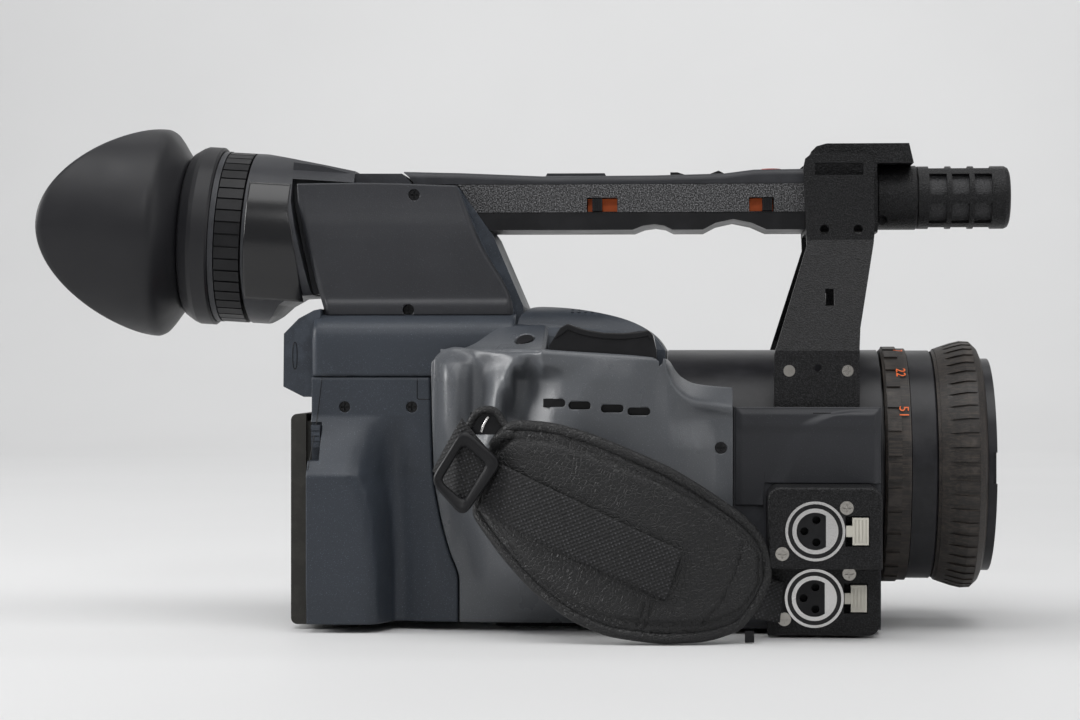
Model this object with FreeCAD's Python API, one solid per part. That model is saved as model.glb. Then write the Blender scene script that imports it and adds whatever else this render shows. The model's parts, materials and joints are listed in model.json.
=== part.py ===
import FreeCAD, Part
import math
import os

# Shoulderless hand-held camcorder with a carrying handle, built as separate pieces.
# Millimetres. X runs forward to the lens, Y to the operator's left, Z up.
# The origin is the mouth of the tripod thread, on the base plane.

os.makedirs("parts", exist_ok=True)

V = FreeCAD.Vector
X_AXIS = V(1, 0, 0)
Y_AXIS = V(0, 1, 0)
Z_AXIS = V(0, 0, 1)

# ---------------------------------------------------------------- driving dimensions
GAP = 0.35              # seam between two casings
FIT = 0.05              # radial clearance of a turning fit

BODY_REAR = -109.6
BODY_FRONT = 52.3
BODY_HALF = 42.0        # half width of the main body
BODY_WALL = 2.5
BODY_FLOOR = 3.3
SPLIT_Z = 97.5          # top edge of the side casings
DECK_Z = 118.0          # flat top of the upper casing
SHOULDER_X = 27.0       # the body steps down to the lens barrel here
SHOULDER_Z = 86.0

LENS_Z = 62.8           # height of the optical axis
BARREL_R = 45.2
FRONT_CASE_END = 108.2
FRONT_CASE_NEAR = -50.0
FRONT_CASE_FAR = 48.0
TUBE_R = 40.0           # inner lens tube that carries the rings
ZOOM_RING = (110.4, 120.2, 46.0)
INDEX_RING = (120.5, 130.2, 45.0)
FOCUS_RING = (130.5, 149.2, 48.7)
FRONT_RING = (149.5, 152.8, 41.8)

PIVOT_X = -86.0         # viewfinder hinge
PIVOT_Z = 165.0
PIVOT_R = 3.0
NECK_R = 15.2           # rounded end of the viewfinder neck
NECK_HALF = 20.6
CHEEK_IN = 21.0
CHEEK_OUT = 30.0
EVF_X = -139.0          # front edge of the diopter ring on the viewfinder axis
EVF_Z = 153.0
EVF_TILT = 3.5
EVF_R = 34.0

HANDLE_HALF = 18.5
HANDLE_LOW = 155.0
HANDLE_MID = 161.7
HANDLE_TOP = 172.9
HANDLE_END = 80.8

MIC_Z = 168.3
MIC_R = 12.7

XLR_RING_R = 11.0
XLR_UPPER = (82.3, -78.0, 41.0)
XLR_LOWER = (82.6, -62.0, 14.9)

ROCKER_X = 3.0
ROCKER_Z = 103.5

# Seam between the rear side cover and the grip casing, from top to bottom.
SEAM = [(-63.6, 97.5), (-62.6, 60.0), (-60.2, 45.0), (-56.6, 31.0), (-52.8, 19.5), (-52.8, 3.3)]


# ---------------------------------------------------------------- helpers
def box(x0, x1, y0, y1, z0, z1):
    return Part.makeBox(x1 - x0, y1 - y0, z1 - z0, V(x0, y0, z0))


def rod(start, axis, radius, length):
    return Part.makeCylinder(radius, length, V(*start), axis)


def pipe(start, axis, outer, inner, length):
    return rod(start, axis, outer, length).cut(rod(start, axis, inner, length))


def prism(corners, depth):
    face = Part.Face(Part.makePolygon(corners + [corners[0]]))
    return face.extrude(depth)


def side_prism(points, y0, y1):
    """A shape drawn in side view (X, Z) and extruded across the body."""
    return prism([V(x, y0, z) for x, z in points], V(0, y1 - y0, 0))


def plan_prism(points, z0, z1):
    """A shape drawn in plan (X, Y) and extruded upward."""
    return prism([V(x, y, z0) for x, y in points], V(0, 0, z1 - z0))


def front_prism(points, x0, x1):
    """A shape drawn in front view (Y, Z) and extruded forward."""
    return prism([V(x0, y, z) for y, z in points], V(x1 - x0, 0, 0))


def smooth_face(points, closing):
    """A face bounded by one smooth curve through points and straight closing edges."""
    curve = Part.BSplineCurve()
    curve.interpolate(points)
    straight = Part.makePolygon([points[-1]] + closing + [points[0]])
    return Part.Face(Part.Wire([curve.toShape()] + straight.Edges))


def soften(shape, radius, axis, inside=None):
    """Round the straight edges that run along one axis, if they lie inside a box."""
    chosen = []
    for edge in shape.Edges:
        if edge.Curve.TypeId != "Part::GeomLine":
            continue
        if abs(edge.tangentAt(edge.FirstParameter).dot(axis)) < 0.985:
            continue
        middle = edge.CenterOfMass
        if inside and not inside.BoundBox.isInside(middle):
            continue
        chosen.append(edge)
    return shape.makeFillet(radius, chosen)


def fluted_disc(start, axis_length, crest, root, count, duty):
    """A toothed disc along X: count raised pads between radius root and crest."""
    x0, y0, z0 = start
    corners = []
    step = 2 * math.pi / count
    for index in range(count):
        base = index * step
        for share, radius in ((0.0, root), (0.0, crest), (duty, crest), (duty, root)):
            angle = base + share * step
            corners.append(V(x0, y0 + radius * math.sin(angle), z0 + radius * math.cos(angle)))
    return prism(corners, V(axis_length, 0, 0))


def turned(profile, centre_z):
    """A body of revolution about an X axis; profile lists (x, radius)."""
    corners = [V(x, 0, centre_z + radius) for x, radius in profile]
    face = Part.Face(Part.makePolygon(corners + [corners[0]]))
    return face.revolve(V(0, 0, centre_z), X_AXIS, 360)


def band(middle, thickness, z0, z1):
    """A curved upright sheet that follows a line in plan, with a given thickness."""
    near = []
    far = []
    for index, (x, y) in enumerate(middle):
        before = middle[max(index - 1, 0)]
        after = middle[min(index + 1, len(middle) - 1)]
        run = V(after[0] - before[0], after[1] - before[1], 0)
        run.normalize()
        across = V(-run.y, run.x, 0) * (thickness / 2)
        near.append((x - across.x, y - across.y))
        far.append((x + across.x, y + across.y))
    return plan_prism(near + far[::-1], z0, z1)


def shifted(middle, offset):
    """The same plan line moved sideways, away from the body for a positive offset."""
    moved = []
    for index, (x, y) in enumerate(middle):
        before = middle[max(index - 1, 0)]
        after = middle[min(index + 1, len(middle) - 1)]
        run = V(after[0] - before[0], after[1] - before[1], 0)
        run.normalize()
        moved.append((x + run.y * offset, y - run.x * offset))
    return moved


def tilted(shape):
    """Turn a shape drawn along X onto the viewfinder axis."""
    shape.rotate(V(EVF_X, 0, EVF_Z), Y_AXIS, EVF_TILT)
    return shape


def mirrored(shape):
    return shape.mirror(V(0, 0, 0), Y_AXIS)


def save(name, *shapes):
    solids = [solid for shape in shapes for solid in shape.Solids]
    result = solids[0] if len(solids) == 1 else Part.makeCompound(solids)
    result.exportStep("parts/" + name + ".step")


# ---------------------------------------------------------------- shared cutters
def cavity():
    """Room inside the main body, shared by its casings."""
    room = box(BODY_REAR + BODY_WALL, BODY_FRONT - BODY_WALL, -BODY_HALF + BODY_WALL,
               BODY_HALF - BODY_WALL, BODY_FLOOR + BODY_WALL, SPLIT_Z + 1)
    step = box(SHOULDER_X - BODY_WALL, BODY_FRONT + 1, -60, 60, SHOULDER_Z - BODY_WALL, 130)
    return room.cut(step)


def shoulder_cut():
    return box(SHOULDER_X, BODY_FRONT + 1, -100, 60, SHOULDER_Z, 130)


def near_screws():
    """Head centres of the screws on the operator's right-hand side: x, face y, z."""
    return [(-96.8, -42.0, 85.9), (-70.8, -42.0, 85.9), (47.8, -55.6, 70.8),
            (-71.2, -30.0, 168.3), (-73.2, -30.0, 123.3), (73.8, -47.0, 99.9), (95.9, -47.0, 99.9)]


def screw_pockets():
    return [rod((x, y - 1, z), Y_AXIS, 2.3, 4.0) for x, y, z in near_screws()]


def cut_all(shape, tools):
    for tool in tools:
        shape = shape.cut(tool)
    return shape


# ---------------------------------------------------------------- base
def base_plate():
    plate = soften(box(-40, 50, -24, 28, 0, 3.0), 4, Z_AXIS)
    plate = plate.fuse(rod((0, 0, 0), Z_AXIS, 9, 8.5))
    plate = plate.cut(rod((0, 0, -1), Z_AXIS, 3.175, 7.5))
    plate = plate.cut(rod((-14, 0, -1), Z_AXIS, 2.3, 3.0))
    for x, y in ((-34, -18), (-34, 22), (44, -18), (44, 22)):
        plate = plate.cut(rod((x, y, -1), Z_AXIS, 2.4, 2.2))
    return plate


def base_screws():
    return [rod((x, y, 0.3), Z_AXIS, 2.2, 0.9) for x, y in ((-34, -18), (-34, 22), (44, -18), (44, 22))]


def rubber_feet():
    feet = []
    for x, y in ((-98, -28), (-98, 30), (90, 30), (90, -34)):
        floor = BODY_FLOOR if x < 0 else 1.6
        feet.append(rod((x, y, 0), Z_AXIS, 5, floor))
    return feet


# ---------------------------------------------------------------- main casings
def left_casing():
    outer = box(BODY_REAR, BODY_FRONT, GAP / 2, BODY_HALF, BODY_FLOOR, SPLIT_Z)
    outer = soften(outer, 6, X_AXIS, box(-200, 200, 41, 43, 0, 10))
    shell = outer.cut(cavity()).cut(shoulder_cut())
    shell = shell.cut(box(BODY_REAR - 1, BODY_REAR + 3, 14, 32, 28, 72))
    shell = shell.cut(rod((-90, 30, 80), Y_AXIS, 2 + FIT, 20))
    shell = shell.cut(rod((-90, 30, 62), Y_AXIS, 2 + FIT, 20))
    shell = shell.cut(rod((0, 0, 0), Z_AXIS, 9.3, 9))
    for row in range(5):
        shell = shell.cut(box(30, 46, 39, 43, 20 + 6 * row, 22.4 + 6 * row))
    return shell


def deck_profile():
    half = BODY_HALF
    return [(-half, SPLIT_Z + GAP), (-half, 108), (-half + 1.2, 113.2), (-half + 5, 116.6),
            (-half + 12, DECK_Z), (half - 12, DECK_Z), (half - 5, 116.6),
            (half - 1.2, 113.2), (half, 108), (half, SPLIT_Z + GAP)]


def hump_solid():
    low = SPLIT_Z + GAP
    crown = [V(-31, -31, 118), V(-27.3, -31, 124.2), V(-19.6, -31, 125.0), V(-8.8, -31, 124.1),
             V(2.0, -31, 122.2), V(12.7, -31, 119.2), V(21.1, -31, 114.6), V(26.6, -31, 107.6)]
    face = smooth_face(crown, [V(26.6, -31, low), V(-31, -31, low)])
    hump = face.extrude(V(0, 62, 0))
    arch = [V(-60, -31, 100), V(-60, -29.5, 113), V(-60, -22, 121.6), V(-60, -10, 125.0),
            V(-60, 10, 125.0), V(-60, 22, 121.6), V(-60, 29.5, 113), V(-60, 31, 100)]
    limit = smooth_face(arch, [V(-60, 31, 90), V(-60, -31, 90)]).extrude(V(100, 0, 0))
    return hump.common(limit)


def top_casing():
    deck = front_prism(deck_profile(), BODY_REAR, SHOULDER_X - GAP)
    drop = side_prism([(-30, 119), (22, 113.5), (28, 106), (28, 130), (-30, 130)], -50, 50)
    shell = deck.cut(drop).fuse(hump_solid()).removeSplitter()
    room = box(BODY_REAR + 2.5, SHOULDER_X - 3, -BODY_HALF + 2.6, BODY_HALF - 2.6, 90, 104)
    shell = shell.cut(room)
    shell = shell.cut(box(BODY_REAR + 4, 10, -26, 26, 103, 114.5))
    shell = shell.cut(box(-64.3, -55.7, 38, 43, 100.2, 105.8))
    for index in range(6):
        shell = shell.cut(rod((-10 + 2.6 * index, -17, 105), Z_AXIS, 0.7, 25))
        shell = shell.cut(rod((-10 + 2.6 * index, -20, 105), Z_AXIS, 0.7, 25))
    return cut_all(shell, [rod((-26.6, -38, 105), Z_AXIS, 3.6, 20)])


def speaker():
    return rod((-3.5, -18, 99), Z_AXIS, 9.5, 3.6)


def bulge():
    outline = [(BODY_REAR, 82), (-84.9, 82), (-90.7, 60.3), (-84.9, 49.6), (-81.1, 35.2),
               (-80.0, 11.7), (-83.8, 4.8), (BODY_REAR, 4.8)]
    slope = [(-41, 84), (-42, 82), (-56, 60.3), (-56, 10), (-52, 4.8), (-41, 4.8)]
    lump = side_prism(outline, -60, -41).common(front_prism(slope, BODY_REAR, -70))
    return lump


def cover_region():
    return [(-130, 97.5)] + SEAM + [(-130, 3.3)]


def rear_side_cover():
    outer = box(BODY_REAR, -40, -BODY_HALF, -GAP / 2, BODY_FLOOR, SPLIT_Z)
    outer = soften(outer, 6, X_AXIS, box(-200, 200, -43, -41, 0, 10))
    shell = outer.cut(cavity()).common(side_prism(cover_region(), -60, 10))
    shell = shell.fuse(bulge()).removeSplitter()
    shell = shell.cut(box(BODY_REAR - 1, -73, -39.2, 1, 5.0, 81.0))
    shell = shell.cut(box(BODY_REAR - 1, -105.4, -60, -BODY_HALF, 65.5, 80.2))
    shell = shell.cut(rod((0, 0, 0), Z_AXIS, 9.3, 9))
    return cut_all(shell, screw_pockets())


def grip_outline():
    right = [(-61.7, 105.0), (-57.0, 104.5), (-50.2, 108.5), (-44.5, 104.8), (-30.0, 106.4),
             (-18.2, 110.6), (27.4, 104.0), (29.0, 96.5), (36.5, 89.3), (46.5, 86.4), (BODY_FRONT, 85.4)]
    left = [(x + GAP, z) for x, z in SEAM[::-1]]
    return right + [(BODY_FRONT, 3.3)] + left


def grip_pillow():
    plan = [V(-63, -44, 0), V(-56, -56, 0), V(-47, -62, 0), V(-30, -66, 0), V(-10, -70.5, 0),
            V(10, -71.5, 0), V(28, -69.5, 0), V(42, -62, 0), V(54, -53, 0)]
    plan_shape = smooth_face(plan, [V(54, -42.4, 0), V(-63, -42.4, 0)]).extrude(V(0, 0, 130))
    front = [V(-70, -42.4, 2.0), V(-70, -53, 4.5), V(-70, -64, 14), V(-70, -70, 30),
             V(-70, -71.5, 50), V(-70, -71.5, 75), V(-70, -70.8, 95), V(-70, -69.5, 104), V(-70, -66, 112)]
    front_shape = smooth_face(front, [V(-70, -42.4, 112)]).extrude(V(130, 0, 0))
    return side_prism(grip_outline(), -80, -42.4).common(plan_shape).common(front_shape)


def grip_casing():
    wall = box(-70, BODY_FRONT, -BODY_HALF, -GAP / 2, BODY_FLOOR, SPLIT_Z)
    wall = wall.cut(cavity()).common(side_prism(grip_outline(), -60, 10)).cut(shoulder_cut())
    bridge = box(-50, 45, -43, -BODY_HALF, 12, 84)
    shell = wall.fuse(bridge).fuse(grip_pillow()).removeSplitter()
    shell = shell.cut(box(-44, 38, -60, -39, 20, 82))
    shell = shell.cut(box(-18.6, 26.2, -66.2, -42.3, 99.5, 130))
    shell = shell.cut(box(ROCKER_X - 3, ROCKER_X + 3, -67.5, -44, 98.5, 110))
    for x, z in ((-14.5, 87.9), (-4.9, 87.0), (7.3, 85.9), (17.2, 84.8)):
        shell = shell.cut(box(x - 4.4, x + 4.4, -80, -66.5, z - 1.2, z + 1.2))
    shell = shell.cut(rod((0, 0, 0), Z_AXIS, 9.3, 9))
    shell = shell.cut(rod((-26.6, -50.5, 100), Z_AXIS, 3.6, 20))
    return cut_all(shell, screw_pockets())


def grip_rocker():
    outline = [(-16.4, 104.6), (-16.6, 109.2), (-12.3, 116.0), (-9.5, 117.6), (-2.2, 115.2),
               (4.0, 114.2), (11.2, 114.0), (20.5, 115.2), (22.4, 113.3), (23.6, 108.0), (23.7, 104.6)]
    pad = side_prism(outline, -65.6, -47.0)
    pivot = rod((ROCKER_X, -64.5, ROCKER_Z), Y_AXIS, 2.4, 16.5)
    pad = pad.fuse(pivot)
    return pad.cut(rod((ROCKER_X, -70, ROCKER_Z), Y_AXIS, 1.0 + FIT, 30))


def grip_rocker_pin():
    pin = rod((ROCKER_X, -66.9, ROCKER_Z), Y_AXIS, 1.0, 23.5)
    return pin.fuse(box(ROCKER_X - 2, ROCKER_X + 2, -47.0 + 0.6, -43.6, 99.6, ROCKER_Z + 2))


def grip_button():
    return rod((-26.6, -50.5, 103.5), Z_AXIS, 3.2, 6.2)


# ---------------------------------------------------------------- front casing and lens
def front_casing():
    outer = box(BODY_FRONT + GAP, FRONT_CASE_END, FRONT_CASE_NEAR, FRONT_CASE_FAR, 1.6, SHOULDER_Z)
    outer = soften(outer, 5.5, Y_AXIS, box(107, 109, -60, 60, 80, 90))
    outer = soften(outer, 4, X_AXIS, box(50, 110, -51, -49, 0, 10))
    outer = outer.cut(rod((40, 0, LENS_Z), X_AXIS, BARREL_R + GAP, 80))
    outer = outer.cut(box(55, 104, -44, 42, 4.2, 40))
    outer = outer.cut(box(92.4, 101.4, -51, -49.2, 81.6, 82.5))
    outer = outer.cut(rod((80, 40, 30), Y_AXIS, 2 + FIT, 20))
    return cut_all(outer, [screw_socket_bore(XLR_UPPER, 13.4), screw_socket_bore(XLR_LOWER, 13.4)])


def screw_socket_bore(place, radius):
    x, y, z = place
    return rod((x, -51, z), Y_AXIS, radius - 2.0, 7.5)


def barrel_housing():
    full = rod((SHOULDER_X + GAP, 0, LENS_Z), X_AXIS, BARREL_R, 109.4 - SHOULDER_X - GAP)
    hidden = box(SHOULDER_X - 1, BODY_FRONT + GAP, -60, 60, 0, SHOULDER_Z + GAP)
    shell = full.cut(hidden)
    shell = shell.cut(rod((SHOULDER_X - 1, 0, LENS_Z), X_AXIS, BARREL_R - 2.6, 100))
    return shell.fuse(pipe((106.6, 0, LENS_Z), X_AXIS, BARREL_R, TUBE_R + 0.02, 2.8)).removeSplitter()


def lens_tube():
    tube = pipe((88, 0, LENS_Z), X_AXIS, TUBE_R, 37.6, FRONT_RING[0] - 88)
    return tube.fuse(pipe((88, 0, LENS_Z), X_AXIS, BARREL_R - 2.7, 24.0, 3)).removeSplitter()


def zoom_ring():
    x0, x1, crest = ZOOM_RING
    rim = [(x0, TUBE_R), (x0, crest - 0.9), (x0 + 0.8, crest - 0.2), (x1, crest - 0.2), (x1, TUBE_R)]
    ring = turned(rim, LENS_Z)
    pads = fluted_disc((x0 + 1.0, 0, LENS_Z), 5.2, crest + 0.5, crest - 1.5, 30, 0.72)
    return ring.fuse(pads).cut(rod((x0 - 1, 0, LENS_Z), X_AXIS, TUBE_R + FIT, 20))


def index_ring():
    x0, x1, crest = INDEX_RING
    return turned([(x0, TUBE_R), (x0, crest), (x1 - 0.6, crest), (x1, crest - 0.6), (x1, TUBE_R)], LENS_Z)


def focus_ring():
    x0, x1, crest = FOCUS_RING
    flare = turned([(x0, TUBE_R), (x0, 45.2), (x0 + 4, 46.6), (x0 + 8, 47.9), (x0 + 11.5, crest),
                    (x0 + 15.4, crest - 0.2), (x0 + 17.6, 46.2), (x1, 43.4), (x1, TUBE_R)], LENS_Z)
    ribs = fluted_disc((x0 + 1.2, 0, LENS_Z), 13.8, 52, 46.6, 54, 0.66)
    core = turned([(x0, TUBE_R), (x0, 44.6), (x0 + 4, 46.1), (x0 + 11.5, 48.1), (x0 + 15.4, 48.1),
                   (x0 + 17.6, 46.0), (x1, 43.4), (x1, TUBE_R)], LENS_Z)
    ring = core.fuse(flare.common(ribs))
    return ring.cut(rod((x0 - 1, 0, LENS_Z), X_AXIS, TUBE_R + FIT, 30))


def front_ring():
    x0, x1, crest = FRONT_RING
    ring = pipe((x0, 0, LENS_Z), X_AXIS, crest, 36.0, x1 - x0)
    for side in (-1, 1):
        edge = side * (crest - 1)
        ring = ring.cut(box(x1 - 1.4, x1 + 1, edge - 3, edge + 3, LENS_Z - 6, LENS_Z + 6))
    return ring


def front_element():
    ball = Part.makeSphere(110, V(146.0 - 110, 0, LENS_Z))
    return ball.common(rod((136, 0, LENS_Z), X_AXIS, 37.5, 14))


def front_cell():
    return turned([(132, 37.5), (132, 31), (147.4, 36.9), (147.4, 37.5)], LENS_Z).cut(front_element())


def rear_lens_group():
    glass = Part.makeSphere(44, V(104 - 44, 0, LENS_Z)).common(rod((94, 0, LENS_Z), X_AXIS, 23.9, 12))
    back = Part.makeSphere(40, V(60 + 40, 0, LENS_Z)).common(rod((60, 0, LENS_Z), X_AXIS, 16.9, 8))
    return [glass, back]


def lens_cell():
    wide = pipe((91.1, 0, LENS_Z), X_AXIS, 27, 24.0, 9)
    narrow = turned([(58, 20), (58, 17), (91, 17), (91, 27), (88, 27)], LENS_Z)
    return wide.fuse(narrow).removeSplitter()


def sensor_block():
    prism_block = box(34, 49, -13, 13, LENS_Z - 13, LENS_Z + 13)
    return [prism_block, box(31.5, 33.9, -10, 10, LENS_Z - 9, LENS_Z + 9)]


# ---------------------------------------------------------------- audio block
def xlr_block():
    upper = box(64.9, 107.0, XLR_UPPER[1], FRONT_CASE_NEAR - 0.2, 27.0, 57.2)
    upper = soften(upper, 4.5, Y_AXIS, box(60, 110, -90, -40, 50, 60))
    lower = box(65.3, 107.0, XLR_LOWER[1], FRONT_CASE_NEAR - 0.2, 1.0, 27.0)
    lower = soften(lower, 4.5, Y_AXIS, box(100, 110, -90, -40, -5, 5))
    block = upper.fuse(lower).removeSplitter()
    block = soften(block, 1.2, X_AXIS, box(60, 110, XLR_UPPER[1] - 0.2, XLR_UPPER[1] + 0.2, 20, 60))
    for place in (XLR_UPPER, XLR_LOWER):
        block = block.cut(socket_bore(place))
        block = block.cut(latch_pocket(place))
    for x, y, z in xlr_screw_places():
        block = block.cut(rod((x, y - 1, z), Y_AXIS, 2.6, 3.2))
    return block


def socket_bore(place):
    x, y, z = place
    return rod((x, y - 1, z), Y_AXIS, XLR_RING_R + FIT, 60)


def latch_pocket(place):
    x, y, z = place
    return box(x + 11.0, x + 19.9, y - 1, y + 5.5, z - 5.6, z + 5.6)


def xlr_screw_places():
    return [(93.8, XLR_UPPER[1], 49.6), (70.2, XLR_UPPER[1], 32.6),
            (95.6, XLR_LOWER[1], 24.1), (71.4, XLR_LOWER[1], 7.0)]


def xlr_shell(place):
    x, y, z = place
    depth = 11.6
    ring = pipe((x, y - 0.6, z), Y_AXIS, XLR_RING_R, 10.0, depth)
    return ring.fuse(rod((x, y + depth - 3, z), Y_AXIS, XLR_RING_R, 2.4)).removeSplitter()


def xlr_insert(place):
    x, y, z = place
    body = pipe((x, y - 0.2, z), Y_AXIS, 8.4, 7.6, 8.6)
    core = rod((x, y + 0.4, z), Y_AXIS, 7.59, 8.0)
    for dx, dz in ((0.4, 4.1), (-4.0, 0.0), (0.4, -4.1)):
        core = core.cut(rod((x + dx, y - 1, z + dz), Y_AXIS, 1.5, 8.6))
    return body, core


def xlr_latch(place):
    x, y, z = place
    tab = box(x + 13.6, x + 19.5, y - 0.9, y + 2.4, z - 5.0, z + 5.0)
    for step in range(4):
        tab = tab.cut(box(x + 14.4 + 1.3 * step, x + 14.9 + 1.3 * step, y - 1, y - 0.6, z - 4.2, z + 4.2))
    return tab.fuse(box(x + 11.3, x + 13.6, y - 0.6, y + 1.6, z - 2.0, z + 2.0)).removeSplitter()


def xlr_screws():
    heads = []
    for x, y, z in xlr_screw_places():
        head = rod((x, y - 0.2, z), Y_AXIS, 2.5, 2.2)
        head = head.cut(box(x - 1.6, x + 1.6, y - 1, y + 1.1, z - 0.35, z + 0.35))
        head = head.cut(box(x - 0.35, x + 0.35, y - 1, y + 1.1, z - 1.6, z + 1.6))
        heads.append(head)
    return heads


# ---------------------------------------------------------------- rear pillar
def cheek():
    outline = [(-117.3, 173.0), (-116.9, 165.3), (-114.6, 154.0), (-112.6, 145.0), (-108.7, 131.0),
               (-106.7, 124.2), (-106.7, DECK_Z), (-32.5, DECK_Z), (-32.5, 123.0), (-45.2, 150.1),
               (-54.6, 172.0), (-92.2, 173.2)]
    plate = side_prism(outline, -CHEEK_OUT, -CHEEK_IN)
    plate = soften(plate, 2.0, Y_AXIS, box(-120, -30, -40, -20, 171, 175))
    plate = plate.cut(rod((PIVOT_X, -25.5, PIVOT_Z), Y_AXIS, PIVOT_R, 10))
    return plate


def rear_cheeks():
    near = cut_all(cheek(), screw_pockets())
    return [near, mirrored(cheek())]


def pillar_web():
    slab = [(-59.8, 172.0), (-54.9, 172.0), (-41.0, 152.5), (-29.2, 125.0), (-29.2, DECK_Z), (-42.0, DECK_Z)]
    web = side_prism(slab, -CHEEK_IN + 0.02, CHEEK_IN - 0.02)
    return web.fuse(pillar_nose()).removeSplitter().cut(hump_solid())


def pillar_nose():
    """Rounded front of the pillar, between the two cheeks."""
    inner = CHEEK_IN - 0.02
    plan = [(-36, -inner), (-31.7, -inner), (-28.2, -inner + 7), (-26.4, -7), (-26.4, 7),
            (-28.2, inner - 7), (-31.7, inner), (-36, inner)]
    foot = plan_prism(plan, DECK_Z, DECK_Z + 0.1).Faces
    base = [face for face in foot if abs(face.CenterOfMass.z - DECK_Z) < 0.01][0]
    rise = HANDLE_LOW - 0.2 - DECK_Z
    return base.extrude(V(-0.4686 * rise, 0, rise))


def evf_pin():
    return rod((PIVOT_X, -25.4, PIVOT_Z), Y_AXIS, PIVOT_R - 0.02, 50.8)


# ---------------------------------------------------------------- viewfinder
def evf_neck_profile():
    arc = []
    for degree in range(54, -72, -18):
        angle = math.radians(degree)
        arc.append((PIVOT_X + NECK_R * math.cos(angle), PIVOT_Z + NECK_R * math.sin(angle)))
    upper = [(-120.0, 182.0), (-108.6, 180.4), (-97.0, 177.4)]
    return upper + arc + [(-84.0, 136.0), (-90.0, 130.6), (-122.0, 129.6)]


def evf_drum_profile():
    return [(-139.6, 190.0), (-120.0, 186.0), (-119.8, 176.0), (-119.6, 166.0), (-117.4, 154.0),
            (-115.4, 145.0), (-112.4, 131.0), (-111.9, 129.5), (-120.8, 128.9), (-126.0, 125.6),
            (-129.4, 121.6), (-132.6, 118.9), (-139.6, 116.0)]


def evf_body():
    drum = tilted(rod((EVF_X + 0.3, 0, EVF_Z), X_AXIS, EVF_R, 30))
    drum = drum.common(side_prism(evf_drum_profile(), -40, 40))
    under_top_line = [(-160, 189.2), (-135.5, 187.1), (-108, 181.2), (-108, 110), (-160, 110)]
    drum = drum.common(side_prism(under_top_line, -40, 40))
    neck = side_prism(evf_neck_profile(), -NECK_HALF, NECK_HALF)
    roof = [(-126.0, 185.0), (-108.6, 181.3), (-95.6, 178.4), (-95.6, 173.6), (-126.0, 175.6)]
    overhang = side_prism(roof, -28, 28).common(tilted(rod((EVF_X, 0, EVF_Z), X_AXIS, EVF_R, 60)))
    sleeve = tilted(rod((-156.5, 0, EVF_Z), X_AXIS, 30.0, 18))
    shell = drum.fuse(neck).fuse(overhang).fuse(sleeve)
    room = tilted(rod((-157, 0, EVF_Z), X_AXIS, 26.5, 26).fuse(rod((-132, 0, EVF_Z), X_AXIS, 20, 11.5)))
    shell = shell.cut(room).cut(box(-122, -100, -17, 17, 137, 173))
    return shell.cut(rod((PIVOT_X, -40, PIVOT_Z), Y_AXIS, PIVOT_R + FIT, 80))


def diopter_ring():
    pads = fluted_disc((-149.3, 0, EVF_Z), 9.8, EVF_R, EVF_R - 0.9, 44, 0.86)
    core = rod((-149.3, 0, EVF_Z), X_AXIS, EVF_R - 0.9, 9.8)
    ring = core.fuse(pads)
    return tilted(ring.cut(rod((-160, 0, EVF_Z), X_AXIS, 30.0 + FIT, 30)))


def evf_trim_ring():
    return tilted(pipe((-151.8, 0, EVF_Z), X_AXIS, EVF_R + 0.2, 30.02, 2.1))


def evf_display():
    return tilted(box(-123.5, -121.4, -11, 11, EVF_Z - 8, EVF_Z + 8))


def evf_eyepiece():
    ball = Part.makeSphere(60, V(-142.5 + 60, 0, EVF_Z))
    return tilted(ball.common(rod((-143, 0, EVF_Z), X_AXIS, 26.4, 9)))


def eyecup_collar():
    profile = [(-156.8, 26.4), (-164.7, 26.4), (-164.9, 30.2), (-163.8, 32.6), (-160.2, 34.9),
               (-158.4, 35.6), (-152.8, 35.6), (-152.0, 34.8), (-152.0, 30.02), (-156.8, 30.02)]
    return tilted(turned(profile, EVF_Z))


def eyecup():
    outer = [(-164.9, 26.6), (-165.2, 30.4), (-168.0, 34.6), (-170.4, 38.2), (-173.2, 40.2),
             (-178.0, 41.0), (-190.0, 41.2), (-219.5, 40.8)]
    inner = [(-219.5, 38.4), (-190.0, 38.8), (-178.5, 38.6), (-174.6, 37.8), (-172.4, 35.8),
             (-169.6, 31.6), (-167.2, 28.4), (-166.0, 26.6)]
    cup = turned(outer + inner, EVF_Z)
    keep = [V(-173, 46, 0), V(-175.5, 38, 0), V(-176.8, 20, 0), V(-177.4, 6, 0), V(-180.6, -4, 0),
            V(-189, -14, 0), V(-202.0, -27, 0), V(-215, -38, 0), V(-222, -46, 0)]
    cutter = smooth_face(keep, [V(-120, -46, 0), V(-120, 46, 0)])
    cutter.translate(V(0, 0, 90))
    return tilted(cup.common(cutter.extrude(V(0, 0, 130))))


# ---------------------------------------------------------------- handle
def handle_bottom():
    low = [(-44.0, HANDLE_LOW), (13.5, HANDLE_LOW), (17.6, 156.6), (22.0, 157.2), (26.0, 156.6),
           (29.2, HANDLE_LOW), (41.0, HANDLE_LOW), (46.0, 157.6), (52.8, 159.1), (60.0, 157.6),
           (65.9, HANDLE_LOW), (HANDLE_END, HANDLE_LOW), (HANDLE_END, HANDLE_TOP), (-54.8, HANDLE_TOP)]
    bar = side_prism(low, -HANDLE_HALF - 1.0, HANDLE_HALF + 1.0)
    for side in (-1, 1):
        centre = side * (HANDLE_HALF + 2)
        bar = bar.cut(box(-70, 90, min(centre, centre - side * 3.8), max(centre, centre - side * 3.8),
                          HANDLE_MID, 180))
    bar = bar.cut(box(-36, 76, -13.5, 13.5, 161.5, 180))
    for x0, x1 in ((-5.2, 8.4), (58.2, 69.6)):
        bar = bar.cut(box(x0, x1, -20, -13, 162.2, 168.2))
    return bar.cut(pillar_web())


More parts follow.
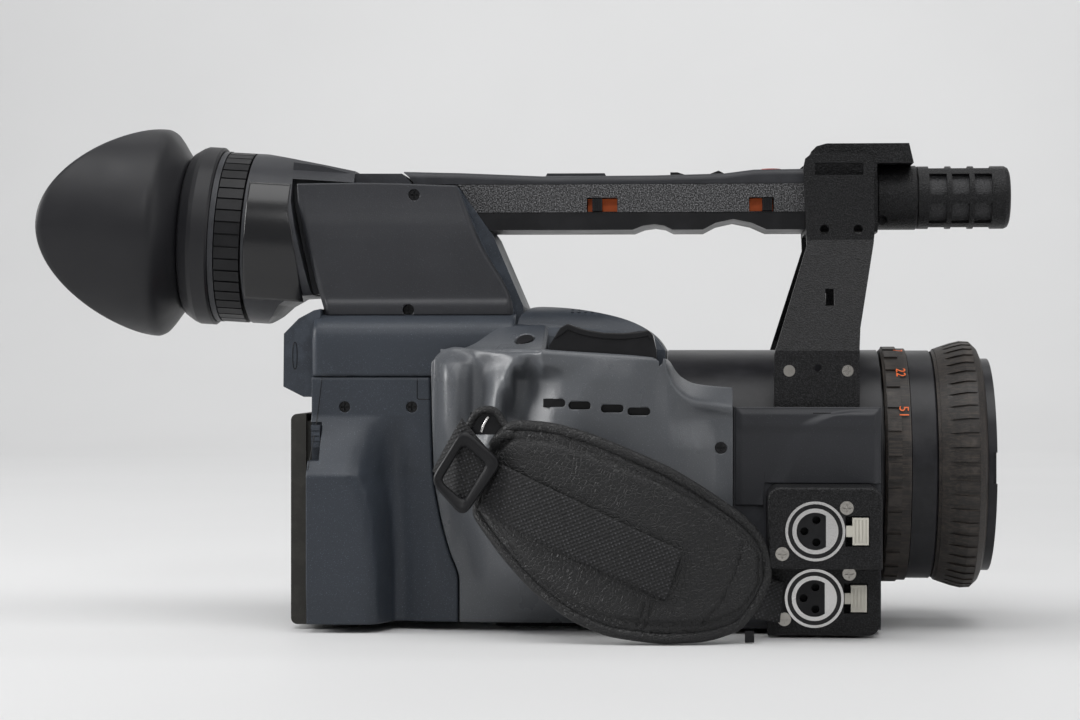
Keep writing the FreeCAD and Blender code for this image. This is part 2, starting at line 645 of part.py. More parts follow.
def side_plate(side):
    low = HANDLE_MID + 0.2
    outline = [(-55.0, HANDLE_TOP), (-47.9, low), (HANDLE_END, low), (HANDLE_END, HANDLE_TOP)]
    y0, y1 = sorted((side * 16.8, side * 19.6))
    plate = side_prism(outline, y0, y1)
    if side < 0:
        plate = plate.cut(box(-4.4, 7.6, -21, -16, 162.0, 167.6))
        plate = plate.cut(box(59.0, 68.7, -21, -16, 162.0, 167.6))
    return plate.cut(pillar_web())


def handle_top():
    line = [(-54.0, 173.2), (-76.8, 173.4)]
    line += [(-76.8, 178.4), (-54.0, 177.8), (-22.0, 176.4), (22.4, 176.6), (49.0, 177.2),
             (61.0, 178.7), (HANDLE_END, 178.9), (HANDLE_END, 173.2)]
    cover = side_prism(line, -17.4, 17.4)
    cover = soften(cover, 2.4, X_AXIS, box(-80, 90, -18, 18, 176, 180))
    cover = cover.cut(rod((PIVOT_X, -30, PIVOT_Z), Y_AXIS, NECK_R + 0.6, 60))
    cover = cover.cut(box(27.6, 50.0, -9.4, 9.4, 170, 180))
    cover = cover.cut(rod((68.1, 0, 170), Z_AXIS, 4.3, 12))
    return cover.cut(box(-22.2, 3.8, -9, 9, 175.6, 180))


def handle_plate():
    top = [(-21.8, 175.6), (-20.6, 178.0), (2.2, 178.0), (3.4, 175.6)]
    return side_prism(top, -8.6, 8.6)


def handle_rocker():
    outline = [(28.2, 173.4), (28.2, 178.2), (31.0, 178.2), (35.0, 176.9), (38.7, 176.6), (43.0, 177.2),
               (47.2, 178.8), (49.2, 177.8), (49.4, 173.4)]
    cap = side_prism(outline, -9.0, 9.0)
    cap = cap.fuse(rod((38.8, -9.0, 171.8), Y_AXIS, 2.4, 18.0)).removeSplitter()
    return cap.cut(rod((38.8, -12, 171.8), Y_AXIS, 1.0 + FIT, 24))


def handle_rocker_pin():
    ends = [box(37.3, 40.3, side * 11.4 - 1.9, side * 11.4 + 1.9, 161.6, 172.9) for side in (-1, 1)]
    return rod((38.8, -13.2, 171.8), Y_AXIS, 1.0, 26.4).fuse(ends[0]).fuse(ends[1]).removeSplitter()


def handle_record_button():
    return rod((68.1, 0, 171.0), Z_AXIS, 3.9, 8.9)


def slide_switch(x0, x1):
    knob = box(x0, x1, -20.4, -15.2, 162.4, 167.2)
    for step in range(3):
        centre = x0 + (x1 - x0) * (step + 1) / 4
        knob = knob.cut(box(centre - 0.3, centre + 0.3, -20.6, -20.0, 162.0, 168.0))
    return knob


def switch_windows():
    """Coloured backing strips that show beside the two sliding knobs."""
    return [box(-4.2, 7.4, -14.8, -13.7, 162.4, 167.4), box(59.2, 68.5, -14.8, -13.7, 162.4, 167.4)]


# ---------------------------------------------------------------- front pillar, shoe, microphone
def leg_outline():
    return [(79.9, 178.8), (80.6, 182.0), (83.3, 184.2), (103.5, 184.2), (106.0, 183.2), (107.0, 181.2),
            (107.3, 153.4), (106.9, 149.2), (100.9, 116.2), (100.4, 108.8), (100.4, SHOULDER_Z + 0.1),
            (68.2, SHOULDER_Z + 0.1), (68.2, 106.3), (81.2, 148.3), (80.9, 155.0)]


def pillar_leg():
    bend = [(-22.6, 190.0), (-22.6, 152.0), (-41.0, 112.0), (-41.0, 80.0), (-47.0, 80.0), (-47.0, 107.5),
            (-27.2, 150.5), (-27.2, 190.0)]
    leg = side_prism(leg_outline(), -50, -20).common(front_prism(bend, 60, 110))
    leg = leg.cut(side_prism([(84.3, 180.3), (103.0, 180.3), (103.0, 175.6), (84.3, 175.6)], -30, -20))
    leg = leg.cut(box(60, 110, -24.4, -20, 168.0, 190))
    for x in (88.0, 101.0):
        leg = leg.cut(rod((x, -30, 154.6), Y_AXIS, 1.8, 10))
    leg = leg.cut(rod((84.7, -50, 100.9), Y_AXIS, 1.4, 10))
    leg = leg.cut(side_prism([(87.9, 131.4), (91.3, 131.4), (91.3, 124.8), (87.9, 124.8)], -50, -20))
    return leg


def front_legs():
    near = cut_all(pillar_leg(), screw_pockets())
    return [near, mirrored(pillar_leg())]


def handle_nose():
    block = box(HANDLE_END + GAP, 108.8, -22.4, 22.4, 153.6, 180.8)
    block = block.cut(box(86, 104, -18, 18, 158, 176))
    block = block.cut(box(80, 110, -25, -19.2, 174.0, 182.0))
    block = block.cut(box(80, 110, 19.2, 25, 174.0, 182.0))
    return soften(block, 2, X_AXIS, box(80, 110, -23, 23, 153, 154))


def accessory_shoe():
    outline = [(83.3, 181.0), (83.3, 185.5), (85.4, 187.6), (89.3, 188.7), (121.4, 188.7), (123.2, 181.0)]
    block = side_prism(outline, -16.5, 16.5)
    block = block.cut(box(96, 125, -9.4, 9.4, 187.2, 190))
    block = block.cut(box(96, 125, -6.5 - 3.0, 6.5 + 3.0, 185.2, 187.2))
    return block


def shoe_rails():
    rails = []
    for side in (-1, 1):
        y0, y1 = sorted((side * 6.4, side * 9.3))
        rails.append(box(96.2, 120.6, y0, y1, 187.4, 188.6))
    return rails


def mic_holder():
    holder = turned([(109.1, 0), (109.1, MIC_R - 0.6), (110.0, MIC_R), (124.8, MIC_R), (125.3, MIC_R - 0.5),
                     (125.3, 0)], MIC_Z)
    holder = holder.cut(rod((120, 0, MIC_Z), X_AXIS, 9.6, 8))
    return holder.cut(rod((111.6, -14, 158.9), Y_AXIS, 1.7, 8))


def mic_grille():
    x0, x1, radius = 125.6, 161.5, 12.4
    shell = turned([(x0, radius), (x1 - 2.0, radius), (x1 - 0.6, radius - 0.7), (x1, radius - 2.0), (x1, 0),
                    (x1 - 2.0, 0), (x1 - 2.0, radius - 1.8), (x0, radius - 1.8)], MIC_Z)
    for column in range(3):
        start = 129.8 + 8.8 * column
        for index in range(6):
            window = box(start, start + 6.8, -4.6, 4.6, MIC_Z + 5, MIC_Z + 15)
            window.rotate(V(0, 0, MIC_Z), X_AXIS, 60 * index + 65.6)
            shell = shell.cut(window)
    return shell


def mic_mesh():
    return pipe((125.7, 0, MIC_Z), X_AXIS, 10.2, 9.7, 33.6)


def mic_capsules():
    return [rod((120.4, 0, MIC_Z), X_AXIS, 9.4, 12), rod((140, 0, MIC_Z), X_AXIS, 8.5, 12)]


# ---------------------------------------------------------------- rear
def rear_block():
    outline = [(-121.5, 93.7), (-121.3, 114.2), (-115.5, 120.1), (-109.5, 123.3), (-107.0, 123.8),
               (-107.0, DECK_Z + 0.2), (BODY_REAR - 0.2, DECK_Z + 0.2), (BODY_REAR - 0.2, 89.7),
               (-113.6, 89.7)]
    block = side_prism(outline, -37, 37)
    block = block.cut(box(-122, -119.5, -33, 33, 95.4, 113.6))
    block = block.cut(rod((-130, -20, 104.5), X_AXIS, 6.0, 16))
    block = block.cut(rod((-130, 2, 104.5), X_AXIS, 4.2, 18))
    return block.cut(box(-130, -115, 15.6, 24.4, 101.1, 107.9))


def rear_record_button():
    return rod((-121.2, -20, 104.5), X_AXIS, 5.6, 5.0)


def power_lever():
    ring = pipe((-121.0, -20, 104.5), X_AXIS, 8.2, 6.2, 1.2)
    return ring.fuse(box(-121.4, -119.8, -29.6, -27.2, 103.0, 106.0)).removeSplitter()


def joystick():
    cap = rod((-121.4, 2, 104.5), X_AXIS, 2.6, 2.2)
    stem = rod((-119.3, 2, 104.5), X_AXIS, 1.4, 5.5)
    barrel = rod((-114, 2, 103.3), Z_AXIS, 1.6, 2.4)
    return cap.fuse(stem).fuse(barrel).removeSplitter()


def rear_menu_button():
    return box(-121.0, -116.5, 16.0, 24.0, 101.5, 107.5)


def battery():
    cap = soften(box(-117.8, -111.9, -41.6, -0.6, 2.0, 83.2), 2.5, Y_AXIS, box(-119, -116, -50, 10, 0, 90))
    pack = box(-111.9, -76.0, -38.6, -1.0, 5.6, 80.4)
    return cap.fuse(pack).removeSplitter()


def battery_contacts():
    return box(-75.2, -72.0, -36, -4, 30, 60)


def battery_release():
    tab = box(-109.2, -105.8, -47.0, -42.4, 70.4, 79.0)
    for step in range(3):
        tab = tab.cut(box(-109.4, -105.6, -47.2, -46.6, 72.4 + 2 * step, 73.0 + 2 * step))
    return tab


def card_door():
    panel = box(-112.0, BODY_REAR - GAP, 8, 36.5, 20, 80)
    panel = panel.fuse(rod((-111.5, 38.3, 20), Z_AXIS, 1.5, 60))
    panel = panel.fuse(box(-112.0, -110.6, 36, 38.3, 20, 80)).removeSplitter()
    return panel.cut(rod((-111.5, 38.3, 19), Z_AXIS, 0.6 + FIT, 62))


def card_door_pin():
    pin = rod((-111.5, 38.3, 17), Z_AXIS, 0.6, 66)
    for z in (16.6, 80.4):
        pin = pin.fuse(box(-112.5, BODY_REAR - 0.02, 37.2, 39.6, z, z + 3.0))
    return pin


def card_slots():
    block = box(-106.8, -78, 14.5, 31.5, 28.5, 71.5)
    for y in (17.5, 24.5):
        block = block.cut(box(-107, -82, y, y + 3.4, 37, 63))
    return block


# ---------------------------------------------------------------- left side
def lcd_brackets():
    lugs = []
    for z in (28.0, 86.4):
        lug = rod((22, 47, z), Z_AXIS, 4, 7.6).fuse(box(18, 26, BODY_HALF, 47, z, z + 7.6))
        lugs.append(lug.removeSplitter())
    pin = rod((22, 47, 35.6), Z_AXIS, 1.5, 50.8)
    return lugs[0].fuse(pin).fuse(lugs[1]).removeSplitter()


def lcd_panel():
    shell = soften(box(-70, 16.6, 43.0, 51.0, 28, 94), 2.5, X_AXIS, box(-80, 20, 50, 52, 0, 100))
    shell = shell.cut(box(-67, 12.6, 42, 44.4, 32, 90))
    arm = rod((22, 47, 36.2), Z_AXIS, 4, 49.6).fuse(box(16, 22, 45, 49, 36.2, 85.8))
    shell = shell.fuse(arm).removeSplitter()
    return shell.cut(rod((22, 47, 30), Z_AXIS, 1.5 + FIT, 60))


def lcd_screen():
    return box(-66.8, 12.4, 43.2, 44.3, 32.2, 89.8)


def round_knob(x, y, z, radius):
    cap = rod((x, y, z), Y_AXIS, radius, 5.0)
    for index in range(12):
        groove = box(x + radius - 0.5, x + radius + 1, y + 0.8, y + 6, z - 0.4, z + 0.4)
        groove.rotate(V(x, y, z), Y_AXIS, 30 * index)
        cap = cap.cut(groove)
    cap = cap.cut(box(x - 0.4, x + 0.4, y + 4.4, y + 6, z + 1, z + radius - 1))
    return cap.fuse(rod((x, y - 5, z), Y_AXIS, 2.0, 5.0)).removeSplitter()


def side_button():
    return box(-63.9, -56.1, 39.8, 43.4, 100.6, 105.4)


# ---------------------------------------------------------------- hand strap
STRAP_LINE = [(-46, -70), (-38, -77), (-28, -82.5), (-14, -86.5), (0, -88.5), (16, -89.5), (32, -88.8),
              (44, -86.5), (55, -82.0), (66, -75.0)]


def pad_outline():
    return [(-27.8, 80.2), (-13.8, 79.1), (0.1, 75.1), (14.4, 69.3), (28.3, 63.1), (39.9, 56.2),
            (54.5, 46.0), (61.4, 38.4), (63.9, 31.1), (64.2, 25.0), (60.0, 13.0), (53.8, 4.6),
            (42.0, 1.6), (25.3, 1.0), (7.0, 3.8), (-6.9, 9.8), (-20.8, 20.8), (-30.7, 31.5),
            (-41.9, 47.5), (-38.0, 60.0), (-32.0, 71.0)]


def hand_strap_pad():
    return side_prism(pad_outline(), -110, -50).common(band(STRAP_LINE, 6.4, -5, 100))


def hand_strap_strip():
    strip = [(-34.5, 66.4), (-43.6, 48.8), (27.6, 16.7), (33.4, 34.5)]
    line = shifted(STRAP_LINE, 4.4)
    return side_prism(strip, -110, -50).common(band(line, 1.8, -5, 100))


def strap_front_tab():
    tab = [(55.0, 11.5), (58.5, 25.0), (70.6, 20.4), (69.4, 6.6)]
    line = [(50, -80.5), (58, -77.5), (65, -70.5), (71, -66.4)]
    return side_prism(tab, -110, -50).common(band(line, 1.8, -5, 100)).cut(hand_strap_pad())


def strap_rear_tab():
    tab = [(-48.4, 81.5), (-61.0, 62.5), (-53.4, 58.5), (-41.5, 74.5)]
    line = [(-40, -81.0), (-50, -76.0), (-57, -67), (-62, -57)]
    strip = side_prism(tab, -90, -50).common(band(line[::-1], 1.8, 0, 100))
    return strip.cut(grip_casing()).cut(strap_lugs()[0]).cut(strap_eyelet()).cut(hand_strap_pad())


def strap_buckle():
    outer = side_prism([(-46.5, 78.8), (-32.8, 66.3), (-46.9, 46.3), (-58.6, 59.7)], -87.4, -84.4)
    outer = soften(outer, 1.8, Y_AXIS)
    inner = side_prism([(-46.5, 75.3), (-36.9, 66.3), (-46.9, 50.2), (-56.4, 59.7)], -90, -80)
    return outer.cut(inner)


def strap_eyelet():
    lobe = [(-43.5, 84.6), (-35.8, 84.6), (-33.6, 80.6), (-37.0, 77.6), (-43.5, 79.0)]
    return side_prism(lobe, -76.4, -72.0)


def strap_lugs():
    rear = box(-61.0, -56.0, -57.4, -48.0, 60, 78).cut(grip_casing())
    front = box(68.4, 71.0, -65.3, XLR_LOWER[1] - 0.02, 9.7, 21.0)
    return [rear, front]


# ---------------------------------------------------------------- electronics
def main_board():
    return box(-68, 20, 20, 21.6, 12, 92)


def board_chips():
    chips = []
    for x, z, size in ((-50, 75, 16), (-20, 70, 20), (5, 50, 12), (-45, 35, 14), (-10, 30, 10)):
        chips.append(box(x - size / 2, x + size / 2, 21.6, 24.0, z - size / 2, z + size / 2))
    return chips


def casing_screws():
    heads = []
    for x, y, z in near_screws():
        head = rod((x, y + 0.7, z), Y_AXIS, 2.2, 2.2)
        head = head.cut(box(x - 1.5, x + 1.5, y, y + 2.0, z - 0.35, z + 0.35))
        head = head.cut(box(x - 0.35, x + 0.35, y, y + 2.0, z - 1.5, z + 1.5))
        heads.append(head)
    return heads


# ---------------------------------------------------------------- export
def export_body():
    save("base_plate", base_plate())
    save("rubber_feet", *rubber_feet())
    save("left_casing", left_casing())
    save("top_casing", top_casing())
    save("rear_side_cover", rear_side_cover())
    save("grip_casing", grip_casing())
    save("front_casing", front_casing())
    save("screws", *casing_screws(), *base_screws(), *xlr_screws())
    save("electronics", main_board(), *board_chips(), *sensor_block(), speaker(), card_slots(),
         battery_contacts())
    save("hinge_pins", evf_pin(), grip_rocker_pin(), handle_rocker_pin(), card_door_pin(),
         lcd_brackets())


def export_lens():
    save("barrel_housing", barrel_housing())
    save("lens_tube", lens_tube(), front_cell(), lens_cell())
    save("zoom_ring", zoom_ring())
    save("index_ring", index_ring())
    save("focus_ring", focus_ring())
    save("front_ring", front_ring())
    save("lens_glass", front_element(), *rear_lens_group())


def export_audio():
    upper_rim, upper_core = xlr_insert(XLR_UPPER)
    lower_rim, lower_core = xlr_insert(XLR_LOWER)
    save("xlr_block", xlr_block())
    save("xlr_shells", xlr_shell(XLR_UPPER), xlr_shell(XLR_LOWER), upper_rim, lower_rim)
    save("xlr_inserts", upper_core, lower_core)
    save("xlr_latch_upper", xlr_latch(XLR_UPPER))
    save("xlr_latch_lower", xlr_latch(XLR_LOWER))
    save("mic_holder", mic_holder())
    save("mic_grille", mic_grille())
    save("mic_mesh", mic_mesh(), *mic_capsules())


def export_viewfinder():
    save("rear_pillar", *rear_cheeks(), pillar_web())
    save("evf_body", evf_body(), evf_trim_ring())
    save("evf_optics", evf_display(), evf_eyepiece())
    save("diopter_ring", diopter_ring())
    save("eyecup_collar", eyecup_collar())
    save("eyecup", eyecup())


def export_handle():
    save("handle_bottom", handle_bottom())
    save("handle_side_plates", side_plate(-1), side_plate(1))
    save("handle_top", handle_top(), handle_plate())
    save("handle_rocker", handle_rocker())
    save("handle_record_button", handle_record_button())
    save("handle_zoom_switch", slide_switch(-2.2, 1.6))
    save("handle_lock_switch", slide_switch(64.2, 68.0))
    save("switch_windows", *switch_windows())
    save("front_pillar", *front_legs(), handle_nose())
    save("accessory_shoe", accessory_shoe(), *shoe_rails())


def export_controls():
    save("grip_rocker", grip_rocker())
    save("grip_button", grip_button())
    save("rear_block", rear_block())
    save("rear_record_button", rear_record_button())
    save("power_lever", power_lever())
    save("joystick", joystick())
    save("rear_menu_button", rear_menu_button())
    save("battery", battery())
    save("battery_release", battery_release())
    save("card_door", card_door())


def export_left_side():
    save("lcd_panel", lcd_panel())
    save("lcd_screen", lcd_screen())
    save("audio_knob_1", round_knob(-90, 42.4, 80, 6.5))
    save("audio_knob_2", round_knob(-90, 42.4, 62, 6.5))
    save("iris_dial", round_knob(80, 48.4, 30, 8.5))
    save("side_button", side_button())


def export_strap():
    save("hand_strap_pad", hand_strap_pad())
    hardware = [strap_buckle(), strap_eyelet(), *strap_lugs()]
    webbing = [hand_strap_strip(), strap_front_tab(), strap_rear_tab()]
    save("strap_webbing", *[cut_all(strip, hardware) for strip in webbing])
    save("strap_hardware", *hardware)


export_body()
export_lens()
export_audio()
export_viewfinder()
export_handle()
export_controls()
export_left_side()
export_strap()
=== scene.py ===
import bpy
import bmesh
import json
import math
from mathutils import Vector, Matrix


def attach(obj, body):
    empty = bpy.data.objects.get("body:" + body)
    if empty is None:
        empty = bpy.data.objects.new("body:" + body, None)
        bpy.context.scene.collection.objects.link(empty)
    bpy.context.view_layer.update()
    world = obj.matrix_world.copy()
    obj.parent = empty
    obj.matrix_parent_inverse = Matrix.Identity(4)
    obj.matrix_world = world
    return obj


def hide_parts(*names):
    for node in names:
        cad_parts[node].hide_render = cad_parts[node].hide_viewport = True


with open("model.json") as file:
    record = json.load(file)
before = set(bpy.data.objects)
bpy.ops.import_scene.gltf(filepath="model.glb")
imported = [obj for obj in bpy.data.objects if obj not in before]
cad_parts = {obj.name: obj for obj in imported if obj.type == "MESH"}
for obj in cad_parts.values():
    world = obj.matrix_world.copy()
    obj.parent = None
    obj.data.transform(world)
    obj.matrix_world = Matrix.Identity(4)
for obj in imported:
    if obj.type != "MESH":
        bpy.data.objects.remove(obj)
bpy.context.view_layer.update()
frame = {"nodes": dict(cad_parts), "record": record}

# Lengths are in millimetres unless said otherwise. The lens looks along +x, the operator's
# right is -y and z is up, as in the CAD frame.
MM = 0.001
BODY = "camera_body"
SIDE_WALL = -42.0


# ------------------------------------------------------------------ small maths
def smooth_line(points, t):
    """Monotone smooth curve through (t, value) points."""
    if t <= points[0][0]:
        return points[0][1]
    if t >= points[-1][0]:
        return points[-1][1]
    slopes = [(b[1] - a[1]) / (b[0] - a[0]) for a, b in zip(points, points[1:])]
    i = next(k for k in range(len(slopes)) if t <= points[k + 1][0])

    def tangent(k):
        if k == 0:
            return slopes[0]
        if k == len(slopes):
            return slopes[-1]
        a, b = slopes[k - 1], slopes[k]
        return 0.0 if a * b <= 0 else 2 * a * b / (a + b)

    h = points[i + 1][0] - points[i][0]
    s = (t - points[i][0]) / h
    m0, m1 = tangent(i) * h, tangent(i + 1) * h
    s2, s3 = s * s, s * s * s
    return ((2 * s3 - 3 * s2 + 1) * points[i][1] + (s3 - 2 * s2 + s) * m0
            + (3 * s2 - 2 * s3) * points[i + 1][1] + (s3 - s2) * m1)


def step(low, high, t):
    """Smooth rise from 0 at low to 1 at high."""
    s = min(max((t - low) / (high - low), 0.0), 1.0)
    return s * s * (3 - 2 * s)


def field(rows, x, z):
    """Depth at (x, z) from rows of (z, [(x, depth), ...])."""
    return smooth_line([(level, smooth_line(profile, x)) for level, profile in rows], z)


# ------------------------------------------------------------------ materials
def nodes_of(name):
    mat = bpy.data.materials.new(name)
    mat.use_nodes = True
    return mat, mat.node_tree, mat.node_tree.nodes["Principled BSDF"]


def object_coords(tree):
    return tree.nodes.new("ShaderNodeTexCoord").outputs["Object"]


def noise(tree, coords, scale, detail=3.0, rough=0.5):
    tex = tree.nodes.new("ShaderNodeTexNoise")
    tex.inputs["Scale"].default_value = scale
    tex.inputs["Detail"].default_value = detail
    tex.inputs["Roughness"].default_value = rough
    tree.links.new(coords, tex.inputs["Vector"])
    return tex.outputs["Fac"]


def ramp(tree, value, low, high, a=(0, 0, 0, 1), b=(1, 1, 1, 1)):
    node = tree.nodes.new("ShaderNodeValToRGB")
    node.color_ramp.elements[0].position = low
    node.color_ramp.elements[1].position = high
    node.color_ramp.elements[0].color = a
    node.color_ramp.elements[1].color = b
    tree.links.new(value, node.inputs["Fac"])
    return node.outputs["Color"]


def patterned(tree, shader, socket, value, low, high, a, b):
    """Let a pattern carry a shader socket between two levels or colours."""
    tree.links.new(ramp(tree, value, low, high, a, b), shader.inputs[socket])


def mixed(tree, factor, a, b, kind="MIX"):
    node = tree.nodes.new("ShaderNodeMix")
    node.data_type = "RGBA"
    node.blend_type = kind
    for socket, value in ((node.inputs[0], factor), (node.inputs[6], a), (node.inputs[7], b)):
        if isinstance(value, (int, float, tuple)):
            socket.default_value = value
        else:
            tree.links.new(value, socket)
    return node.outputs[2]


def tint_base(tree, shader, factor, color):
    """Lay a colour over whatever feeds the base colour of a finish."""
    base = shader.inputs["Base Color"].links[0].from_socket
    tree.links.new(mixed(tree, factor, base, color), shader.inputs["Base Color"])


def along_axis(tree, axis, low, high):
    """0 to 1 between two places along an axis of the part, in metres."""
    split = tree.nodes.new("ShaderNodeSeparateXYZ")
    tree.links.new(object_coords(tree), split.inputs[0])
    span = tree.nodes.new("ShaderNodeMapRange")
    span.inputs["From Min"].default_value = low
    span.inputs["From Max"].default_value = high
    tree.links.new(split.outputs[axis], span.inputs["Value"])
    return span.outputs["Result"]


def add_bump(tree, shader, height, strength, distance):
    bump = tree.nodes.new("ShaderNodeBump")
    bump.inputs["Strength"].default_value = strength
    bump.inputs["Distance"].default_value = distance
    tree.links.new(height, bump.inputs["Height"])
    tree.links.new(bump.outputs["Normal"], shader.inputs["Normal"])


def rgba(level, tint=(1, 1, 1)):
    return tuple(level * t for t in tint) + (1.0,)


def moulded(name, color, rough, grain, bump, vary, wear=0.0, worn=None,
            metallic=0.0, specular=0.3, painted_sparkle=0.0):
    """Moulded or painted finish: fine grain, slow colour drift, worn edges and tiny specks of painted
    sparkle.
    """
    mat, tree, shader = nodes_of(name)
    coords = object_coords(tree)
    fine = noise(tree, coords, grain, 2.0, 0.6)
    slow = noise(tree, coords, 22.0, 4.0, 0.55)
    shade = ramp(tree, slow, 0.3, 0.7, rgba(1 - vary, color), rgba(1 + vary, color))
    # The crests of the grain are lightened in the colour as painted sparkle.
    if painted_sparkle:
        dots = ramp(tree, fine, 0.62, 0.72)
        shade = mixed(tree, dots, shade, rgba(1 + painted_sparkle, color))
    if wear:
        geometry = tree.nodes.new("ShaderNodeNewGeometry")
        edge = ramp(tree, geometry.outputs["Pointiness"], 0.52, 0.60)
        patchy = ramp(tree, noise(tree, coords, 120.0, 4.0, 0.6), 0.45, 0.62)
        both = mixed(tree, 1.0, edge, patchy, "MULTIPLY")
        scaled = mixed(tree, 1.0, both, rgba(wear), "MULTIPLY")
        shade = mixed(tree, scaled, shade, rgba(1, worn) if worn else rgba(3, color))
    tree.links.new(shade, shader.inputs["Base Color"])
    blotches = noise(tree, coords, 60.0, 4.0)
    smooth, dull = rgba(rough * 0.85), rgba(min(1.0, rough * 1.15))
    patterned(tree, shader, "Roughness", blotches, 0.3, 0.7, smooth, dull)
    shader.inputs["Metallic"].default_value = metallic
    shader.inputs["Specular IOR Level"].default_value = specular
    add_bump(tree, shader, fine, bump, 0.00015)
    return mat


def crackle(name, color, rough, size, bump, painted_glint=1.6):
    """Black crackle paint: raised pebbles whose tops are lightened as painted glints."""
    mat, tree, shader = nodes_of(name)
    coords = object_coords(tree)
    cells = tree.nodes.new("ShaderNodeTexVoronoi")
    cells.inputs["Scale"].default_value = size
    tree.links.new(coords, cells.inputs["Vector"])
    lumps = noise(tree, coords, size * 1.4, 3.0, 0.6)
    height = mixed(tree, 0.5, cells.outputs["Distance"], lumps)
    # The pebble tops are lightened in the colour as painted glints that stand in for highlights.
    patterned(tree, shader, "Base Color", lumps, 0.45, 0.68, rgba(0.7, color), rgba(painted_glint, color))
    patterned(tree, shader, "Roughness", lumps, 0.3, 0.7, rgba(rough * 0.7), rgba(rough * 1.3))
    shader.inputs["Specular IOR Level"].default_value = 0.2
    add_bump(tree, shader, height, bump, 0.0004)
    return mat


def leather(name, color):
    """Soft synthetic leather: creased cells and pores."""
    mat, tree, shader = nodes_of(name)
    coords = object_coords(tree)
    cells = tree.nodes.new("ShaderNodeTexVoronoi")
    cells.feature = "DISTANCE_TO_EDGE"
    cells.inputs["Scale"].default_value = 700.0
    tree.links.new(coords, cells.inputs["Vector"])
    creases = ramp(tree, cells.outputs["Distance"], 0.0, 0.12)
    folds = noise(tree, coords, 260.0, 5.0, 0.65)
    height = mixed(tree, 0.45, creases, folds)
    patterned(tree, shader, "Base Color", folds, 0.3, 0.7, rgba(0.75, color), rgba(1.3, color))
    patterned(tree, shader, "Roughness", folds, 0.35, 0.65, rgba(0.4), rgba(0.625))
    shader.inputs["Specular IOR Level"].default_value = 0.45
    add_bump(tree, shader, height, 0.75, 0.0005)
    return mat


def woven(name, color, across, along):
    """Woven webbing: rows of small raised stitches along two directions, their crests lightened as a
    painted highlight.
    """
    pitch, bright = 0.0019, 13.0
    mat, tree, shader = nodes_of(name)
    coords = object_coords(tree)
    waves = []
    for direction in (across, along):
        dot = tree.nodes.new("ShaderNodeVectorMath")
        dot.operation = "DOT_PRODUCT"
        dot.inputs[1].default_value = direction
        tree.links.new(coords, dot.inputs[0])
        turn = tree.nodes.new("ShaderNodeMath")
        turn.operation = "MULTIPLY"
        turn.inputs[1].default_value = 2 * math.pi / pitch
        tree.links.new(dot.outputs["Value"], turn.inputs[0])
        wave = tree.nodes.new("ShaderNodeMath")
        wave.operation = "SINE"
        tree.links.new(turn.outputs[0], wave.inputs[0])
        waves.append(wave.outputs[0])
    product = tree.nodes.new("ShaderNodeMath")
    product.operation = "MULTIPLY"
    tree.links.new(waves[0], product.inputs[0])
    tree.links.new(waves[1], product.inputs[1])
    spread = tree.nodes.new("ShaderNodeMapRange")
    spread.inputs["From Min"].default_value = -1
    spread.inputs["From Max"].default_value = 1
    tree.links.new(product.outputs[0], spread.inputs["Value"])
    fuzz = noise(tree, coords, 2600.0, 3.0, 0.7)
    height = mixed(tree, 0.25, spread.outputs["Result"], fuzz)
    patchy = ramp(tree, noise(tree, coords, 900.0, 2.0, 0.7), 0.42, 0.6)
    # The stitch crests are lightened in the colour as a painted highlight.
    painted_crest_glint = mixed(tree, 1.0, ramp(tree, spread.outputs["Result"], 0.66, 0.95), patchy, "MULTIPLY")
    tree.links.new(mixed(tree, painted_crest_glint, color + (1,), rgba(bright, color)), shader.inputs["Base Color"])
    shader.inputs["Roughness"].default_value = 0.78
    add_bump(tree, shader, height, 0.9, 0.0005)
    return mat


def glassy(name, color, rough=0.06):
    """Coated glass with faint smears."""
    mat, tree, shader = nodes_of(name)
    smear = noise(tree, object_coords(tree), 35.0, 4.0)
    patterned(tree, shader, "Roughness", smear, 0.4, 0.7, rgba(rough * 0.6), rgba(rough * 1.8))
    patterned(tree, shader, "Base Color", smear, 0.3, 0.7, rgba(0.85, color), rgba(1.15, color))
    shader.inputs["Coat Weight"].default_value = 1.0
    shader.inputs["Coat Roughness"].default_value = 0.03
    return mat


def two_tone(mat, height, soft, color):
    """Let a finish turn to another colour above a height, in metres."""
    shader = mat.node_tree.nodes["Principled BSDF"]
    above = along_axis(mat.node_tree, "Z", height - soft, height + soft)
    tint_base(mat.node_tree, shader, above, color)
    return mat


def front_steel(mat, start):
    """Let a finish turn to bright steel forward of a place along the part, in metres."""
    shader = mat.node_tree.nodes["Principled BSDF"]
    ahead = along_axis(mat.node_tree, "X", start, start + 0.002)
    tint_base(mat.node_tree, shader, ahead, (0.42, 0.40, 0.37, 1))
    mat.node_tree.links.new(ahead, shader.inputs["Metallic"])
    return mat


def streaked(mat, along, color, amount):
    """Add long fine streaks to a finish, as on a worn ribbed grip ring."""
    tree = mat.node_tree
    scale = tree.nodes.new("ShaderNodeVectorMath")
    scale.operation = "MULTIPLY"
    scale.inputs[1].default_value = along
    tree.links.new(object_coords(tree), scale.inputs[0])
    lines = ramp(tree, noise(tree, scale.outputs["Vector"], 1.0, 4.0, 0.6), 0.45, 0.75)
    weak = mixed(tree, 1.0, lines, rgba(amount), "MULTIPLY")
    tint_base(tree, tree.nodes["Principled BSDF"], weak, color + (1,))
    return mat


BLUE_GREY = (0.034, 0.040, 0.050)
GREY = (0.085, 0.090, 0.098)
